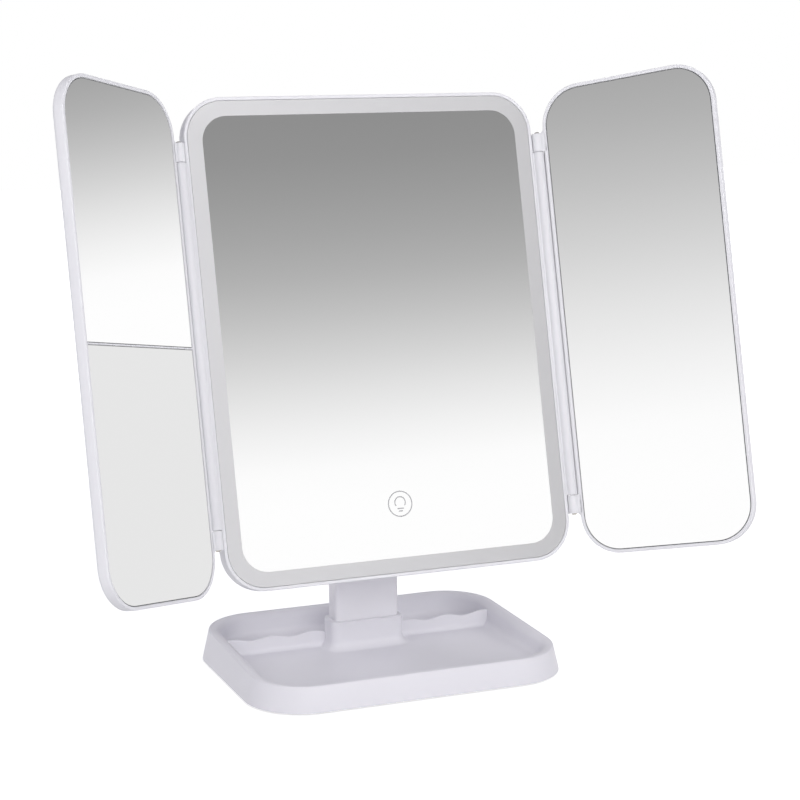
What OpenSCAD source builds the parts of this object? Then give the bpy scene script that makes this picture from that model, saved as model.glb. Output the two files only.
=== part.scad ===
// Lighted trifold vanity mirror on a tray base. Millimetres, +Z up.
// Origin: on the surface it stands on, under the middle of its outline. The mirrors face -Y.

/* [Pose in the photo] */
// Backward lean of the mirror head from upright, degrees
head_tilt = 14; // [0:1:60]
// Forward fold of the left wing from flat, degrees
left_fold = 43; // [0:1:90]
// Forward fold of the right wing from flat, degrees
right_fold = 46; // [0:1:90]

/* [Place] */
// Distance of the base's centre to the right of the origin
base_x = 1.75; // [0:0.05:6]
// Distance of the base's centre behind the origin
base_y = 20.05; // [0:0.05:40]

/* [Centre panel] */
// Width of the centre panel over its bezel
panel_w = 200; // [180:1:230]
// Height of the centre panel and of the wings
panel_h = 260.5; // [230:0.5:300]
// Outer corner radius of the centre panel
panel_r = 22; // [18:0.5:30]
// Width of the plain rim round the glass
rim_w = 1.8; // [1.4:0.1:3]
// Depth of the bezel's side, from its front face to the parting line
bezel_depth = 4; // [3.5:0.5:6]
// Depth of the closed panel from its front face to its flat back
panel_depth = 12; // [10:0.5:16]
// Wall thickness of the moulded shells
wall = 2; // [1.6:0.1:2.4]
// Radius on the back edge of the rear shell
back_edge_r = 3.5; // [2:0.5:5]
// How far the glass sits below the rim
glass_recess = 0.3; // [0.1:0.1:0.6]
// Thickness of the centre glass
glass_t = 2; // [1.5:0.1:3]
// Gap between glass and rim all round
glass_gap = 0.2; // [0.1:0.05:0.3]
// Width of the frosted light band between rim and silvered area
band_w = 8; // [6:0.5:12]
// Width of the ledge that carries the glass
ledge_w = 1.2; // [0.8:0.1:2]

/* [Rear housing] */
// Width of the raised battery housing on the back
housing_w = 112; // [100:1:130]
// Height of the raised battery housing
housing_h = 96; // [90:1:110]
// How far the housing stands out from the flat back
housing_d = 12; // [11:0.5:16]
// Corner radius of the housing
housing_r = 12; // [8:1:16]
// Distance from the tilt axis down to the housing's lower edge
housing_drop = 14; // [12:0.5:20]
// Width of the battery bay, four slim cells side by side
bay_w = 46; // [44:0.5:52]
// Length of the battery bay, cell plus its contacts
bay_h = 52; // [50:0.5:56]
// Distance from the housing's upper edge down to the bay
bay_inset = 14; // [10:0.5:20]
// Clearance round the battery door
door_gap = 0.3; // [0.2:0.05:0.5]
// How far the door overlaps the bay on each side
door_lap = 4; // [3:0.5:6]

/* [Wings] */
// Gap between a closed wing's tip and the centre line
tip_gap = 1.2; // [0.8:0.1:4]
// Thickness of one wing
wing_t = 7; // [6:0.5:9]
// Outer corner radius of a wing
wing_r = 22; // [16:0.5:28]
// Radius on the back edge of a wing
wing_edge_r = 2.5; // [1:0.5:3]
// Thickness of the wing mirrors
wing_glass_t = 2; // [1.5:0.1:3]
// Thickness of the foam tape behind a wing mirror
tape_t = 0.8; // [0.5:0.1:1]
// Height of the left wing's lower mirror, from the bottom of its recess
lower_mirror_h = 131; // [90:1:160]
// Width of the rib between the left wing's two mirrors
split_rib_w = 1.3; // [1:0.1:3]
// Rows of pockets between the ribs behind the wing mirrors
pocket_rows = 6; // [2:2:10]
// Distance of the pockets from the edge of the recess
pocket_margin = 6; // [4:0.5:10]
// Thickness of the ribs between the pockets
rib_t = 2; // [1.2:0.1:3]
// Distance of the foam tape from the edge of the recess
tape_margin = 7; // [3:0.5:12]

/* [Wing hinges] */
// Outer diameter of the hinge barrels
barrel_d = 5.6; // [5:0.2:7]
// Clearance between a knuckle and the side of the bezel
barrel_gap = 0.4; // [0.3:0.1:1]
// Height of the hinge axis above the mirror faces' plane
axis_rise = 0.4; // [0.3:0.05:0.8]
// Distance from the hinge axis to the near edge of the wing
wing_offset = 3.6; // [3.4:0.1:5]
// Length of each wing knuckle
knuckle_l = 10; // [8:0.5:16]
// Distance from the panel's end to the outer face of a knuckle
knuckle_inset = 24; // [23:0.5:40]
// Gap between a knuckle and the long barrel
knuckle_gap = 0.4; // [0.3:0.1:0.8]
// Diameter of a hinge pin
pin_d = 2; // [1.6:0.1:2.4]
// Length of pin held in the long barrel
pin_grip = 12; // [8:1:20]
// Depth of the barrel's bore past the end of the pin
bore_spare = 1; // [0.5:0.5:3]
// Diameter of the domed pin head
pin_head_d = 3; // [2.6:0.1:3.6]
// Height of the domed pin head
pin_head_h = 0.9; // [0.6:0.1:1.2]

/* [Tilt hinge] */
// Height of the tilt axis above the table
tilt_axis_z = 180; // [170:1:200]
// Distance of the tilt axis behind the centre of the base
tilt_axis_y = 23.5; // [20:0.5:28]
// Distance of the tilt axis behind the panel's front face
tilt_axis_depth = 36; // [34:0.5:40]
// Width of the knuckle at the top of the neck
tilt_knuckle_w = 20; // [16:0.5:24]
// Diameter of the tilt axle
axle_d = 6; // [5:0.5:8]
// Diameter of the axle's countersunk flat head
axle_head_d = 10; // [8.5:0.5:11]
// Thickness of the axle's head
axle_head_t = 2.6; // [2:0.2:4]
// Width across flats of the locking nut
nut_af = 10; // [8:0.5:10]
// Thickness of the locking nut
nut_t = 4; // [3:0.5:6]
// Outer diameter of the friction washers
washer_d = 12; // [10:0.5:13]
// Thickness of a friction washer
washer_t = 0.8; // [0.5:0.1:1.2]
// Thickness of the bracket's mounting plate
bracket_plate_t = 3; // [2.5:0.5:4]
// Height of the bracket's mounting plate
bracket_plate_h = 22; // [20:1:26]
// Distance that the bracket plate reaches past the ears on each side
bracket_wing_w = 10; // [8:0.5:14]

/* [Neck] */
// Width of the neck
neck_w = 38; // [34:0.5:44]
// Depth of the neck from front to back
neck_d = 14.2; // [13:0.2:16]
// Radius on the neck's upright edges
neck_edge_r = 2.6; // [1.5:0.2:4]
// Width of the plug that goes into the base
plug_w = 30; // [26:0.5:32]
// Depth of the plug from front to back
plug_d = 8; // [6:0.2:9]
// Length of the plug
plug_l = 14; // [10:0.5:15]
// Clearance round the plug in its socket
plug_gap = 0.3; // [0.2:0.05:0.5]

/* [Base tray] */
// Width of the base at the bottom
base_w = 182; // [170:1:200]
// Depth of the base at the bottom, front to back
base_d = 140; // [125:1:150]
// Corner radius of the base at the bottom
base_r = 33; // [28:1:38]
// Inward slope of the outer wall over the height of the back rim
base_taper = 4; // [2:0.5:6]
// Height of the shell's lower edge above the table, on its feet
base_lift = 1.2; // [0.8:0.1:2]
// Height of the rim at the front
rim_front_z = 14.2; // [12:0.2:17]
// Height of the rim at the back
rim_back_z = 19.4; // [17:0.2:24]
// Width of the rim on top, at the back
tray_rim_w = 1.6; // [1.2:0.1:3]
// Inward slope of the inner wall, from the back rim to the floor
tray_draft = 2.4; // [1:0.2:5]
// Height of the tray floor
tray_floor_z = 6; // [5:0.5:8]
// Fillet radius where floor meets wall
floor_fillet = 5; // [3:0.5:7]
// Fillet radius at the foot of the divider
divider_fillet = 2; // [1:0.5:3]
// Radius where the divider runs into the side walls, seen from above
divider_end_r = 9; // [4:0.5:12]
// Distance of the divider's centre behind the base's centre
divider_y = 29; // [26:0.5:34]
// Thickness of the wavy divider
divider_t = 2.2; // [1.8:0.1:3]
// Mean height of the divider's crest
divider_z = 14.4; // [12:0.1:16]
// Height of the waves on the crest, from the mean to a peak
wave_h = 0.9; // [0.4:0.1:1.5]
// Length of one wave
wave_l = 23.6; // [18:0.2:30]
// Distance of the first dip from the centre line
wave_start = 41.5; // [36:0.5:46]
// Margin of the socket boss round the neck
boss_margin = 2.2; // [1.8:0.1:4]
// Height of the boss's top face, the seam with the neck
boss_z = 22.4; // [20:0.2:26]
// Flare radius at the foot of the boss
boss_fillet = 3.5; // [2:0.5:5]

/* [Underside] */
// Thickness of the bottom cover
cover_t = 1.5; // [1.2:0.1:2]
// Distance of the cover's seat from the base outline
cover_in = 3; // [2:0.2:3.4]
// Clearance round the bottom cover
cover_gap = 0.3; // [0.2:0.05:0.5]
// Diameter of a rubber foot
foot_d = 14; // [10:0.5:18]
// Depth of the recess that holds a foot
foot_seat = 0.6; // [0.4:0.1:0.8]
// Distance of the feet from the centre line, left and right
foot_x = 62; // [50:1:66]
// Distance of the feet from the centre, front and back
foot_y = 44; // [36:1:46]
// Distance of the base screws from the outline, up inside the rim
base_screw_in = 6.2; // [6:0.1:6.6]
// Distance of the base screws from the centre line
base_screw_x = 45; // [30:1:52]
// Length of the base screws under the head
base_screw_l = 6; // [4:0.5:7]

/* [Lighting] */
// Spacing of the light-emitting diodes
led_pitch = 12; // [9:0.5:20]
// Length of one diode
led_l = 3.5; // [2:0.1:5]
// Width of one diode
led_w = 2.8; // [2:0.1:3.5]
// Thickness of one diode
led_t = 0.7; // [0.4:0.1:1]
// Thickness of the circuit boards
board_t = 1; // [0.8:0.1:1.6]
// Height of the touch switch's centre above the panel's lower edge
touch_v = 38.8; // [30:0.2:60]
// Diameter of the touch sensor pad
touch_d = 14; // [10:0.5:18]
// Width of the power inlet's shell
usb_w = 8; // [7.5:0.1:9]
// Height of the power inlet's shell
usb_h = 2.8; // [2.6:0.1:3.3]
// Length of the power inlet's shell
usb_l = 6; // [5:0.5:7.5]
// Height of the power inlet above the tilt axis, along the panel
usb_up = 10; // [8:1:40]
// Length of the driver board
driver_l = 56; // [30:1:60]

/* [Screws] */
// Shank diameter of the self-tapping screws
screw_d = 2.2; // [1.8:0.1:3]
// Head diameter of the self-tapping screws
screw_head_d = 4.4; // [3.6:0.2:5]
// Head height of the self-tapping screws
screw_head_h = 1.4; // [1:0.1:2]
// Clearance round a screw that passes through
screw_gap = 0.2; // [0.1:0.05:0.4]
// Diameter of the screw posts
post_d = 6; // [5:0.5:8]
// Distance of the panel's screw posts from its edges
post_in = 20; // [18:1:30]
// Height of the rear shell's screw posts above its floor
shell_post_h = 2; // [1:0.5:3]

/* [Hidden] */
$fn = 64;
eps = 0.01;
panel_v = panel_h / 2;                              // mid-height of the panel, level with the tilt axis
axis_u = panel_w / 2 + barrel_gap + barrel_d / 2;   // wing hinge axes, left and right of centre
glass_inset = rim_w + glass_gap;
glass_w = panel_w - 2 * glass_inset;
glass_h = panel_h - 2 * glass_inset;
glass_r = panel_r - glass_inset;
glass_back = glass_recess + glass_t;
silver_inset = glass_inset + band_w;
silver_w = panel_w - 2 * silver_inset;
silver_h = panel_h - 2 * silver_inset;
silver_r = panel_r - silver_inset + 2;
backing_t = 1.5;                                    // carrier sheet behind the silvered area
board_n = panel_depth - wall - board_t;             // depth of the light board's front face
post_n = panel_depth - wall - shell_post_h;         // depth where carrier and shell posts meet
back_n = panel_depth + housing_d;                   // depth of the housing's outer face
housing_v0 = panel_v - housing_drop;                // lower edge of the housing
housing_v1 = housing_v0 + housing_h;
bay_v1 = housing_v1 - bay_inset;                    // upper edge of the battery bay
bay_v0 = bay_v1 - bay_h;
door_t = 1.6;
bay_floor_n = back_n - 11.5 - door_t;               // bay floor: a cell and the door's thickness in
door_w = bay_w + 2 * door_lap;
door_h = bay_h + 2 * door_lap;
door_r = 4;
wing_w = axis_u - wing_offset - tip_gap;
pin_run = 0.05;                                     // radial running clearance in a knuckle
wing_seat_n = glass_recess + wing_glass_t + tape_t; // depth of a wing's recess floor
wing_rim_gap = 0.2;
wing_mirror_w = wing_w - 2 * (rim_w + wing_rim_gap);
wing_mirror_h = panel_h - 2 * (rim_w + wing_rim_gap);
wing_mirror_r = wing_r - rim_w - wing_rim_gap;
ear_r = neck_d / 2;
ear_in = tilt_knuckle_w / 2 + washer_t + 0.1;       // inner face of an ear
ear_out = neck_w / 2;                               // outer face of an ear
shoulder_z = tilt_axis_z - ear_r - 2.6;             // top of the neck's full-width part
neck_front_y = tilt_axis_y - neck_d / 2;
neck_back_y = tilt_axis_y + neck_d / 2;
rim_slope = atan2(rim_back_z - rim_front_z, base_d);
rim_mid_z = (rim_front_z + rim_back_z) / 2;
rim_foot = base_taper + tray_rim_w + tray_draft;    // inset of the tray wall at the floor
wall_lean = atan2(tray_draft, rim_back_z - tray_floor_z);
cell_d = 10.5;

// ---------- shapes ----------

// Rectangle with round corners, centred.
module round_rect(w, h, r) {
    square([w - 2 * r, h], center = true);
    square([w, h - 2 * r], center = true);
    for (x = [-1, 1], y = [-1, 1])
        translate([x * (w / 2 - r), y * (h / 2 - r)]) circle(r = r);
}

// Plate of a rounded rectangle, from z0 to z1.
module plate(w, h, r, z0, z1) {
    translate([0, 0, z0]) linear_extrude(z1 - z0) round_rect(w, h, r);
}

// Carries a profile round a rounded rectangle. The profile's x is the distance
// outward from the outline, its y the height.
module sweep_round(w, h, r) {
    for (a = [0, 180]) rotate([0, 0, a]) {
        translate([w / 2 - r, h / 2 - r, 0]) rotate_extrude(angle = 90) translate([r, 0]) children();
        translate([-w / 2 + r, h / 2 - r, 0]) rotate([0, 0, 90])
            rotate_extrude(angle = 90) translate([r, 0]) children();
        translate([w / 2, h / 2 - r, 0]) rotate([90, 0, 0]) linear_extrude(h - 2 * r) children();
        translate([-w / 2 + r, h / 2, 0]) rotate([90, 0, 90]) linear_extrude(w - 2 * r) children();
    }
}

// Slab with a rounded edge round its back, from z = -t up to z = 0. Its inside
// is filled out to the swept edge.
module soft_slab(w, h, r, t, edge) {
    sweep_round(w, h, r) difference() {
        translate([-r / 2, -t]) square([r / 2, t]);
        translate([-edge, -t]) difference() {
            square([edge + eps, edge]);
            translate([0, edge]) circle(r = edge);
        }
    }
    plate(w - r, h - r, r / 2, -t, 0);
}

// Flat-headed screw, head at z = 0, shank towards -z.
module screw(l) {
    translate([0, 0, -l]) cylinder(d = screw_d, h = l);
    cylinder(d = screw_head_d, h = screw_head_h);
}

// Places children in the base's frame, which starts under the centre of the base.
module on_base() {
    translate([base_x, base_y, 0]) children();
}

// Places children in the head's frame: x to the right, y up the panel, z out of
// its front face, from the middle of the panel's lower edge.
module on_head() {
    on_base() translate([0, tilt_axis_y, tilt_axis_z]) rotate([90 - head_tilt, 0, 0])
        translate([0, -panel_v, tilt_axis_depth]) children();
}

// Places children in a wing's frame: x from the hinge axis towards the tip,
// y up the panel, z out of the mirror's face. The left side is a mirror image.
module on_wing(side) {
    on_head() mirror([side < 0 ? 1 : 0, 0, 0]) translate([axis_u, 0, axis_rise])
        rotate([0, side < 0 ? -left_fold : -right_fold, 0]) children();
}

// ---------- base ----------

// Cuts away everything above the sloping rim.
module above_rim() {
    translate([0, 0, rim_mid_z]) rotate([rim_slope, 0, 0])
        translate([-base_w, -base_d, 0]) cube([2 * base_w, 2 * base_d, 60]);
}

// Crest height of the divider at distance x from the centre line.
function crest(x) = divider_z - wave_h * cos(360 * (abs(x) - wave_start) / wave_l);

// The divider seen from above, widening into the side walls.
module divider_plan(reach) {
    r = divider_end_r;
    square([2 * reach, divider_t], center = true);
    for (a = [0, 1], b = [0, 1]) mirror([a, 0]) mirror([0, b])
        translate([reach - r, divider_t / 2]) difference() {
            square(r);
            translate([0, r]) circle(r = r);
        }
}

module divider() {
    reach = base_w / 2 - base_taper - tray_rim_w;
    steps = 72;
    pts = [for (i = [0:steps]) let (x = -reach + 2 * reach * i / steps) [x, crest(x)]];
    foot_z = tray_floor_z - 1;
    half_d = divider_t / 2 + divider_end_r + 1;
    translate([0, divider_y, 0]) intersection() {
        linear_extrude(rim_back_z) divider_plan(reach);
        translate([0, half_d, 0]) rotate([90, 0, 0]) linear_extrude(2 * half_d)
            polygon(concat([[-reach, foot_z]], pts, [[reach, foot_z]]));
    }
    for (back = [0, 1]) translate([0, divider_y, tray_floor_z])
        mirror([0, back, 0]) translate([-reach, -divider_t / 2, 0]) rotate([90, 0, 90])
            linear_extrude(2 * reach) leaning_fillet(divider_fillet, 0);
}

// Cross-section of the fillet between a floor and a wall to the right of the
// origin that leans outward by so many degrees.
module leaning_fillet(r, lean) {
    t = r / tan((90 + lean) / 2);
    difference() {
        polygon([[0, 0], [-t, 0], [-t, r], [t * sin(lean), t * cos(lean)]]);
        translate([-t, r]) circle(r = r);
    }
}

// Solid outline of the base with sloping walls, before the rim is cut.
module base_block() {
    top = rim_back_z + 2;
    slope_in = base_taper * (top - base_lift) / (rim_back_z - base_lift);
    sweep_round(base_w, base_d, base_r)
        polygon([[0, base_lift], [-slope_in, top], [-base_r + 8, top], [-base_r + 8, base_lift]]);
    plate(base_w - base_r, base_d - base_r, base_r / 2, base_lift, top);
}

// The hollow of the tray, with a fillet all round its floor.
module tray_hollow() {
    in = base_taper + tray_rim_w;
    w = base_w - 2 * in;
    d = base_d - 2 * in;
    r = base_r - in;
    top = rim_back_z + 3;
    spread = tray_draft * (top - rim_back_z) / (rim_back_z - tray_floor_z);
    sweep_round(w, d, r) difference() {
        polygon([[spread, top], [-tray_draft, tray_floor_z], [-r + 6, tray_floor_z], [-r + 6, top]]);
        translate([-tray_draft, tray_floor_z]) leaning_fillet(floor_fillet, wall_lean);
    }
    plate(w - r, d - r, r / 2, tray_floor_z, top);
}

// Boss that holds the neck, flared at its foot.
module boss() {
    w = neck_w + 2 * boss_margin;
    d = neck_d + 2 * boss_margin;
    translate([0, tilt_axis_y, 0]) {
        plate(w, d, neck_edge_r + boss_margin, tray_floor_z - 1, boss_z);
        translate([0, 0, tray_floor_z]) sweep_round(w, d, neck_edge_r + boss_margin) difference() {
            translate([-1, -1]) square(boss_fillet + 1);
            translate([boss_fillet, boss_fillet]) circle(r = boss_fillet);
        }
    }
}

// Places children at the four base screws, up inside the front and back rim.
module at_base_screws() {
    for (x = [-1, 1], y = [-1, 1])
        translate([x * base_screw_x, y * (base_d / 2 - base_screw_in), base_lift]) children();
}

module at_feet() {
    for (x = [-1, 1], y = [-1, 1]) translate([x * foot_x, y * foot_y, 0]) children();
}

module base_tray() {
    color("#E4E3EA") on_base() difference() {
        union() {
            difference() {
                base_block();
                above_rim();
                tray_hollow();
            }
            intersection() {
                union() {
                    divider();
                    boss();
                }
                plate(base_w - 2 * base_taper, base_d - 2 * base_taper, base_r - base_taper, base_lift, 60);
            }
        }
        // socket of the neck
        translate([0, tilt_axis_y, boss_z - plug_l - 1])
            plate(plug_w + 2 * plug_gap, plug_d + 2 * plug_gap, 2, 0, plug_l + 2);
        // seat of the bottom cover
        plate(base_w - 2 * cover_in, base_d - 2 * cover_in, base_r - cover_in, 0, base_lift + cover_t);
        at_base_screws() cylinder(d = screw_d, h = base_screw_l + cover_t / 2 + 0.5);
    }
}

module bottom_cover() {
    inset = cover_in + cover_gap;
    color("#DCDBE2") on_base() difference() {
        plate(base_w - 2 * inset, base_d - 2 * inset, base_r - inset, base_lift, base_lift + cover_t);
        at_feet() cylinder(d = foot_d, h = base_lift + foot_seat);
        at_base_screws() translate([0, 0, -1]) cylinder(d = screw_d + 2 * screw_gap, h = 10);
        at_base_screws() translate([0, 0, -1]) cylinder(d = screw_head_d + 2 * screw_gap, h = 1 + cover_t / 2);
    }
}

module rubber_feet() {
    color("#8C8C90") on_base() at_feet() cylinder(d = foot_d, h = base_lift + foot_seat);
}

module base_screws() {
    color("silver") on_base() at_base_screws() {
        cylinder(d = screw_head_d, h = cover_t / 2);
        cylinder(d = screw_d, h = base_screw_l + cover_t / 2);
    }
}

// ---------- neck ----------

// Cross-section of the neck, front half or back half.
module neck_half(front) {
    intersection() {
        round_rect(neck_w, neck_d, neck_edge_r);
        translate([-neck_w, front ? -neck_d : 0]) square([2 * neck_w, neck_d]);
    }
}

neck_post_z = [boss_z + 22, (boss_z + shoulder_z) / 2, shoulder_z - 16];
neck_screw_seat = 3;        // distance of the screw heads' seat behind the split
neck_screw_l = 7.5;

module neck_front_shell() {
    color("#DEDDE6") on_base() translate([0, tilt_axis_y, 0]) difference() {
        union() {
            difference() {
                translate([0, 0, boss_z]) linear_extrude(shoulder_z - boss_z) neck_half(true);
                translate([0, 0, boss_z + wall]) linear_extrude(shoulder_z - boss_z - 2 * wall)
                    round_rect(neck_w - 2 * wall, neck_d - 2 * wall, neck_edge_r - 1);
            }
            for (z = neck_post_z) translate([0, 0, z]) rotate([90, 0, 0])
                cylinder(d = post_d, h = neck_d / 2 - 1);
            // knuckle at the top, cut clear of the bracket's ears
            translate([-tilt_knuckle_w / 2, -neck_d / 2, shoulder_z - wall])
                cube([tilt_knuckle_w, neck_d, tilt_axis_z - shoulder_z + wall]);
            translate([-tilt_knuckle_w / 2, 0, tilt_axis_z]) rotate([0, 90, 0])
                cylinder(r = ear_r, h = tilt_knuckle_w);
            // plug for the base
            translate([0, 0, boss_z - plug_l]) linear_extrude(plug_l + wall)
                round_rect(plug_w, plug_d, 1.7);
        }
        translate([0, 0, tilt_axis_z]) rotate([0, 90, 0])
            cylinder(d = axle_d + 2 * pin_run, h = neck_w, center = true);
        for (z = neck_post_z) translate([0, eps, z]) rotate([90, 0, 0])
            cylinder(d = screw_d, h = neck_screw_l - neck_screw_seat + 0.5);
    }
}

module neck_rear_shell() {
    color("#DEDDE6") on_base() translate([0, tilt_axis_y, 0]) difference() {
        union() {
            difference() {
                translate([0, 0, boss_z]) linear_extrude(shoulder_z - boss_z) neck_half(false);
                translate([0, 0, boss_z + wall]) linear_extrude(shoulder_z - boss_z - 2 * wall)
                    round_rect(neck_w - 2 * wall, neck_d - 2 * wall, neck_edge_r - 1);
            }
            for (z = neck_post_z) translate([0, 0, z]) rotate([-90, 0, 0])
                cylinder(d = post_d, h = neck_d / 2 - 1);
        }
        translate([-tilt_knuckle_w / 2 - 0.1, -1, shoulder_z - wall - 0.1])
            cube([tilt_knuckle_w + 0.2, neck_d, wall + 1]);
        translate([0, 0, boss_z - 1]) plate(plug_w + 0.2, plug_d + 0.2, 1.8, 0, wall + 1.1);
        for (z = neck_post_z) translate([0, -eps, z]) rotate([-90, 0, 0]) {
            cylinder(d = screw_d + 2 * screw_gap, h = neck_d);
            translate([0, 0, neck_screw_seat]) cylinder(d = screw_head_d + 2 * screw_gap, h = neck_d);
        }
    }
}

module neck_screws() {
    color("silver") on_base() for (z = neck_post_z) translate([0, tilt_axis_y + neck_screw_seat, z])
        rotate([-90, 0, 0]) screw(neck_screw_l);
}

// ---------- tilt hinge ----------

bracket_screw_u = ear_out + bracket_wing_w / 2;

module ear_profile() {
    circle(r = ear_r);
    translate([-ear_r, 0]) square([2 * ear_r, tilt_axis_depth - back_n]);
}

module tilt_bracket() {
    plate_w = neck_w + 2 * bracket_wing_w;
    color("#D8D7DF") on_head() translate([0, panel_v, 0]) difference() {
        union() {
            translate([0, 0, -back_n - bracket_plate_t])
                linear_extrude(bracket_plate_t) round_rect(plate_w, bracket_plate_h, 4);
            for (s = [-1, 1]) translate([s * (ear_in + ear_out) / 2, 0, -tilt_axis_depth])
                rotate([0, 0, 90]) rotate([90, 0, 0])
                    linear_extrude(ear_out - ear_in, center = true) ear_profile();
        }
        translate([0, 0, -tilt_axis_depth]) rotate([0, 90, 0])
            cylinder(d = axle_d, h = 2 * neck_w, center = true);
        translate([ear_out - axle_head_t, 0, -tilt_axis_depth]) rotate([0, 90, 0])
            cylinder(d = axle_head_d + 0.4, h = 10);
        translate([-ear_out + nut_t, 0, -tilt_axis_depth]) rotate([0, -90, 0])
            cylinder(d = nut_af / cos(30) + 0.4, h = 10);
        // room for the neck's knuckle between the ears
        translate([-ear_in, -bracket_plate_h, -tilt_axis_depth - ear_r])
            cube([2 * ear_in, 2 * bracket_plate_h, tilt_axis_depth - back_n - bracket_plate_t + ear_r]);
        for (u = [-1, 1], v = [-1, 1])
            translate([u * bracket_screw_u, v * bracket_plate_h / 4, -back_n - 10])
                cylinder(d = screw_d + 2 * screw_gap, h = 12);
    }
}

module bracket_screws() {
    color("silver") on_head() for (u = [-1, 1], v = [-1, 1])
        translate([u * bracket_screw_u, panel_v + v * bracket_plate_h / 4, -back_n - bracket_plate_t])
            rotate([180, 0, 0]) screw(bracket_plate_t + wall);
}

module tilt_axle() {
    color("silver") on_base() translate([0, tilt_axis_y, tilt_axis_z]) rotate([0, 90, 0]) {
        translate([0, 0, -ear_out + 0.6]) cylinder(d = axle_d, h = 2 * ear_out - 0.6 - axle_head_t + eps);
        translate([0, 0, ear_out - axle_head_t]) cylinder(d = axle_head_d, h = axle_head_t - 0.3);
    }
}

module tilt_nut() {
    color("silver") on_base() translate([-ear_out + 0.6, tilt_axis_y, tilt_axis_z])
        rotate([0, 90, 0]) difference() {
            cylinder(d = nut_af / cos(30), h = nut_t - 0.6, $fn = 6);
            translate([0, 0, -1]) cylinder(d = axle_d, h = nut_t + 1);
        }
}

module friction_washers() {
    color("gray") on_base() for (s = [-1, 1]) translate([0, tilt_axis_y, tilt_axis_z]) rotate([0, s * 90, 0])
        translate([0, 0, tilt_knuckle_w / 2 + 0.1]) difference() {
            cylinder(d = washer_d, h = washer_t);
            translate([0, 0, -1]) cylinder(d = axle_d + 2 * pin_run, h = washer_t + 2);
        }
}

// ---------- centre panel ----------

barrel_v0 = knuckle_inset + knuckle_l + knuckle_gap;
barrel_v1 = panel_h - barrel_v0;

// Long hinge barrel on one side of the bezel, joined to it by a web.
module long_barrel() {
    difference() {
        union() {
            translate([axis_u, barrel_v0, axis_rise]) rotate([-90, 0, 0])
                cylinder(d = barrel_d, h = barrel_v1 - barrel_v0);
            translate([panel_w / 2 - 1, barrel_v0, -barrel_d / 2 + axis_rise])
                cube([axis_u - panel_w / 2 + 1, barrel_v1 - barrel_v0, barrel_d / 2 - axis_rise]);
        }
        for (v = [barrel_v0 - 1, barrel_v1 - pin_grip - bore_spare])
            translate([axis_u, v, axis_rise]) rotate([-90, 0, 0])
                cylinder(d = pin_d, h = pin_grip + bore_spare + 1);
    }
}

module centre_bezel() {
    color("#F2F2F4") on_head() {
        translate([0, panel_v, 0]) {
            sweep_round(panel_w, panel_h, panel_r) difference() {
                union() {
                    translate([-rim_w, -bezel_depth]) square([rim_w, bezel_depth]);
                    translate([-glass_inset - ledge_w, -bezel_depth])
                        square([glass_inset + ledge_w, bezel_depth - glass_back]);
                }
                // softened front edge
                translate([-0.6, -0.6]) difference() {
                    square(1);
                    circle(r = 0.6);
                }
            }
        }
        for (s = [0, 1]) mirror([s, 0, 0]) long_barrel();
    }
}

shell_screw_at = [for (u = [-1, 1], v = [post_in, panel_v, panel_h - post_in])
    [u * (panel_w / 2 - post_in), v]];

module rear_shell() {
    depth = panel_depth - bezel_depth;
    color("#E6E6EC") on_head() difference() {
        union() {
            difference() {
                union() {
                    translate([0, panel_v, -bezel_depth]) difference() {
                        soft_slab(panel_w, panel_h, panel_r, depth, back_edge_r);
                        plate(panel_w - 2 * wall, panel_h - 2 * wall, panel_r - wall, -depth + wall, 1);
                    }
                    housing();
                }
                housing_hollow();
            }
            for (p = shell_screw_at) translate([p[0], p[1], -panel_depth + 1])
                cylinder(d = post_d, h = panel_depth - 1 - post_n);
            board_pegs();
        }
        for (p = shell_screw_at) translate([p[0], p[1], -panel_depth - 1]) {
            cylinder(d = screw_d + 2 * screw_gap, h = 20);
            cylinder(d = screw_head_d + 2 * screw_gap, h = 1 + screw_head_h);
        }
        for (u = [-1, 1], v = [-1, 1])
            translate([u * bracket_screw_u, panel_v + v * bracket_plate_h / 4, -back_n - 1])
                cylinder(d = screw_d, h = 1 + wall);
    }
}

module housing() {
    translate([0, housing_v0 + housing_h / 2, -panel_depth + 1])
        soft_slab(housing_w, housing_h, housing_r, housing_d + 1, 3);
}

module housing_hollow() {
    mid_v = housing_v0 + housing_h / 2;
    bay_v = (bay_v0 + bay_v1) / 2;
    // electronics space, open to the panel's inside
    difference() {
        translate([0, mid_v, -back_n + wall]) linear_extrude(housing_d + wall)
            round_rect(housing_w - 2 * wall, housing_h - 2 * wall, housing_r - wall);
        translate([0, bay_v, -back_n]) linear_extrude(back_n - bay_floor_n + wall)
            square([bay_w + 2 * wall, bay_h + 2 * wall], center = true);
        translate([0, bay_v, -back_n]) linear_extrude(wall + door_t)
            square([door_w + 2 * wall, door_h + 2 * wall], center = true);
    }
    // battery bay, open to the back
    translate([0, bay_v, -back_n - 1]) linear_extrude(back_n - bay_floor_n + 1)
        square([bay_w, bay_h], center = true);
    // seat of the battery door
    translate([0, bay_v, -back_n - 1]) linear_extrude(door_t + 1)
        round_rect(door_w + 2 * door_gap, door_h + 2 * door_gap, door_r + door_gap);
    // opening for the power inlet in the housing's side
    translate([housing_w / 2 - wall - 1, usb_v, usb_n]) rotate([0, 90, 0])
        linear_extrude(wall + 2) round_rect(usb_h + 0.6, usb_w + 0.6, 1.2);
}

usb_v = panel_v + usb_up;
usb_n = -back_n + 6.5;

carrier_bite = 3;           // length of screw held in the carrier's posts

module shell_screws() {
    color("silver") on_head() for (p = shell_screw_at)
        translate([p[0], p[1], -panel_depth + screw_head_h]) rotate([180, 0, 0])
            screw(panel_depth - screw_head_h - post_n + carrier_bite);
}

module centre_glass() {
    color("#C8CACC") on_head() translate([0, panel_v, 0])
        plate(glass_w, glass_h, glass_r, -glass_back, -glass_recess);
}

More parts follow.
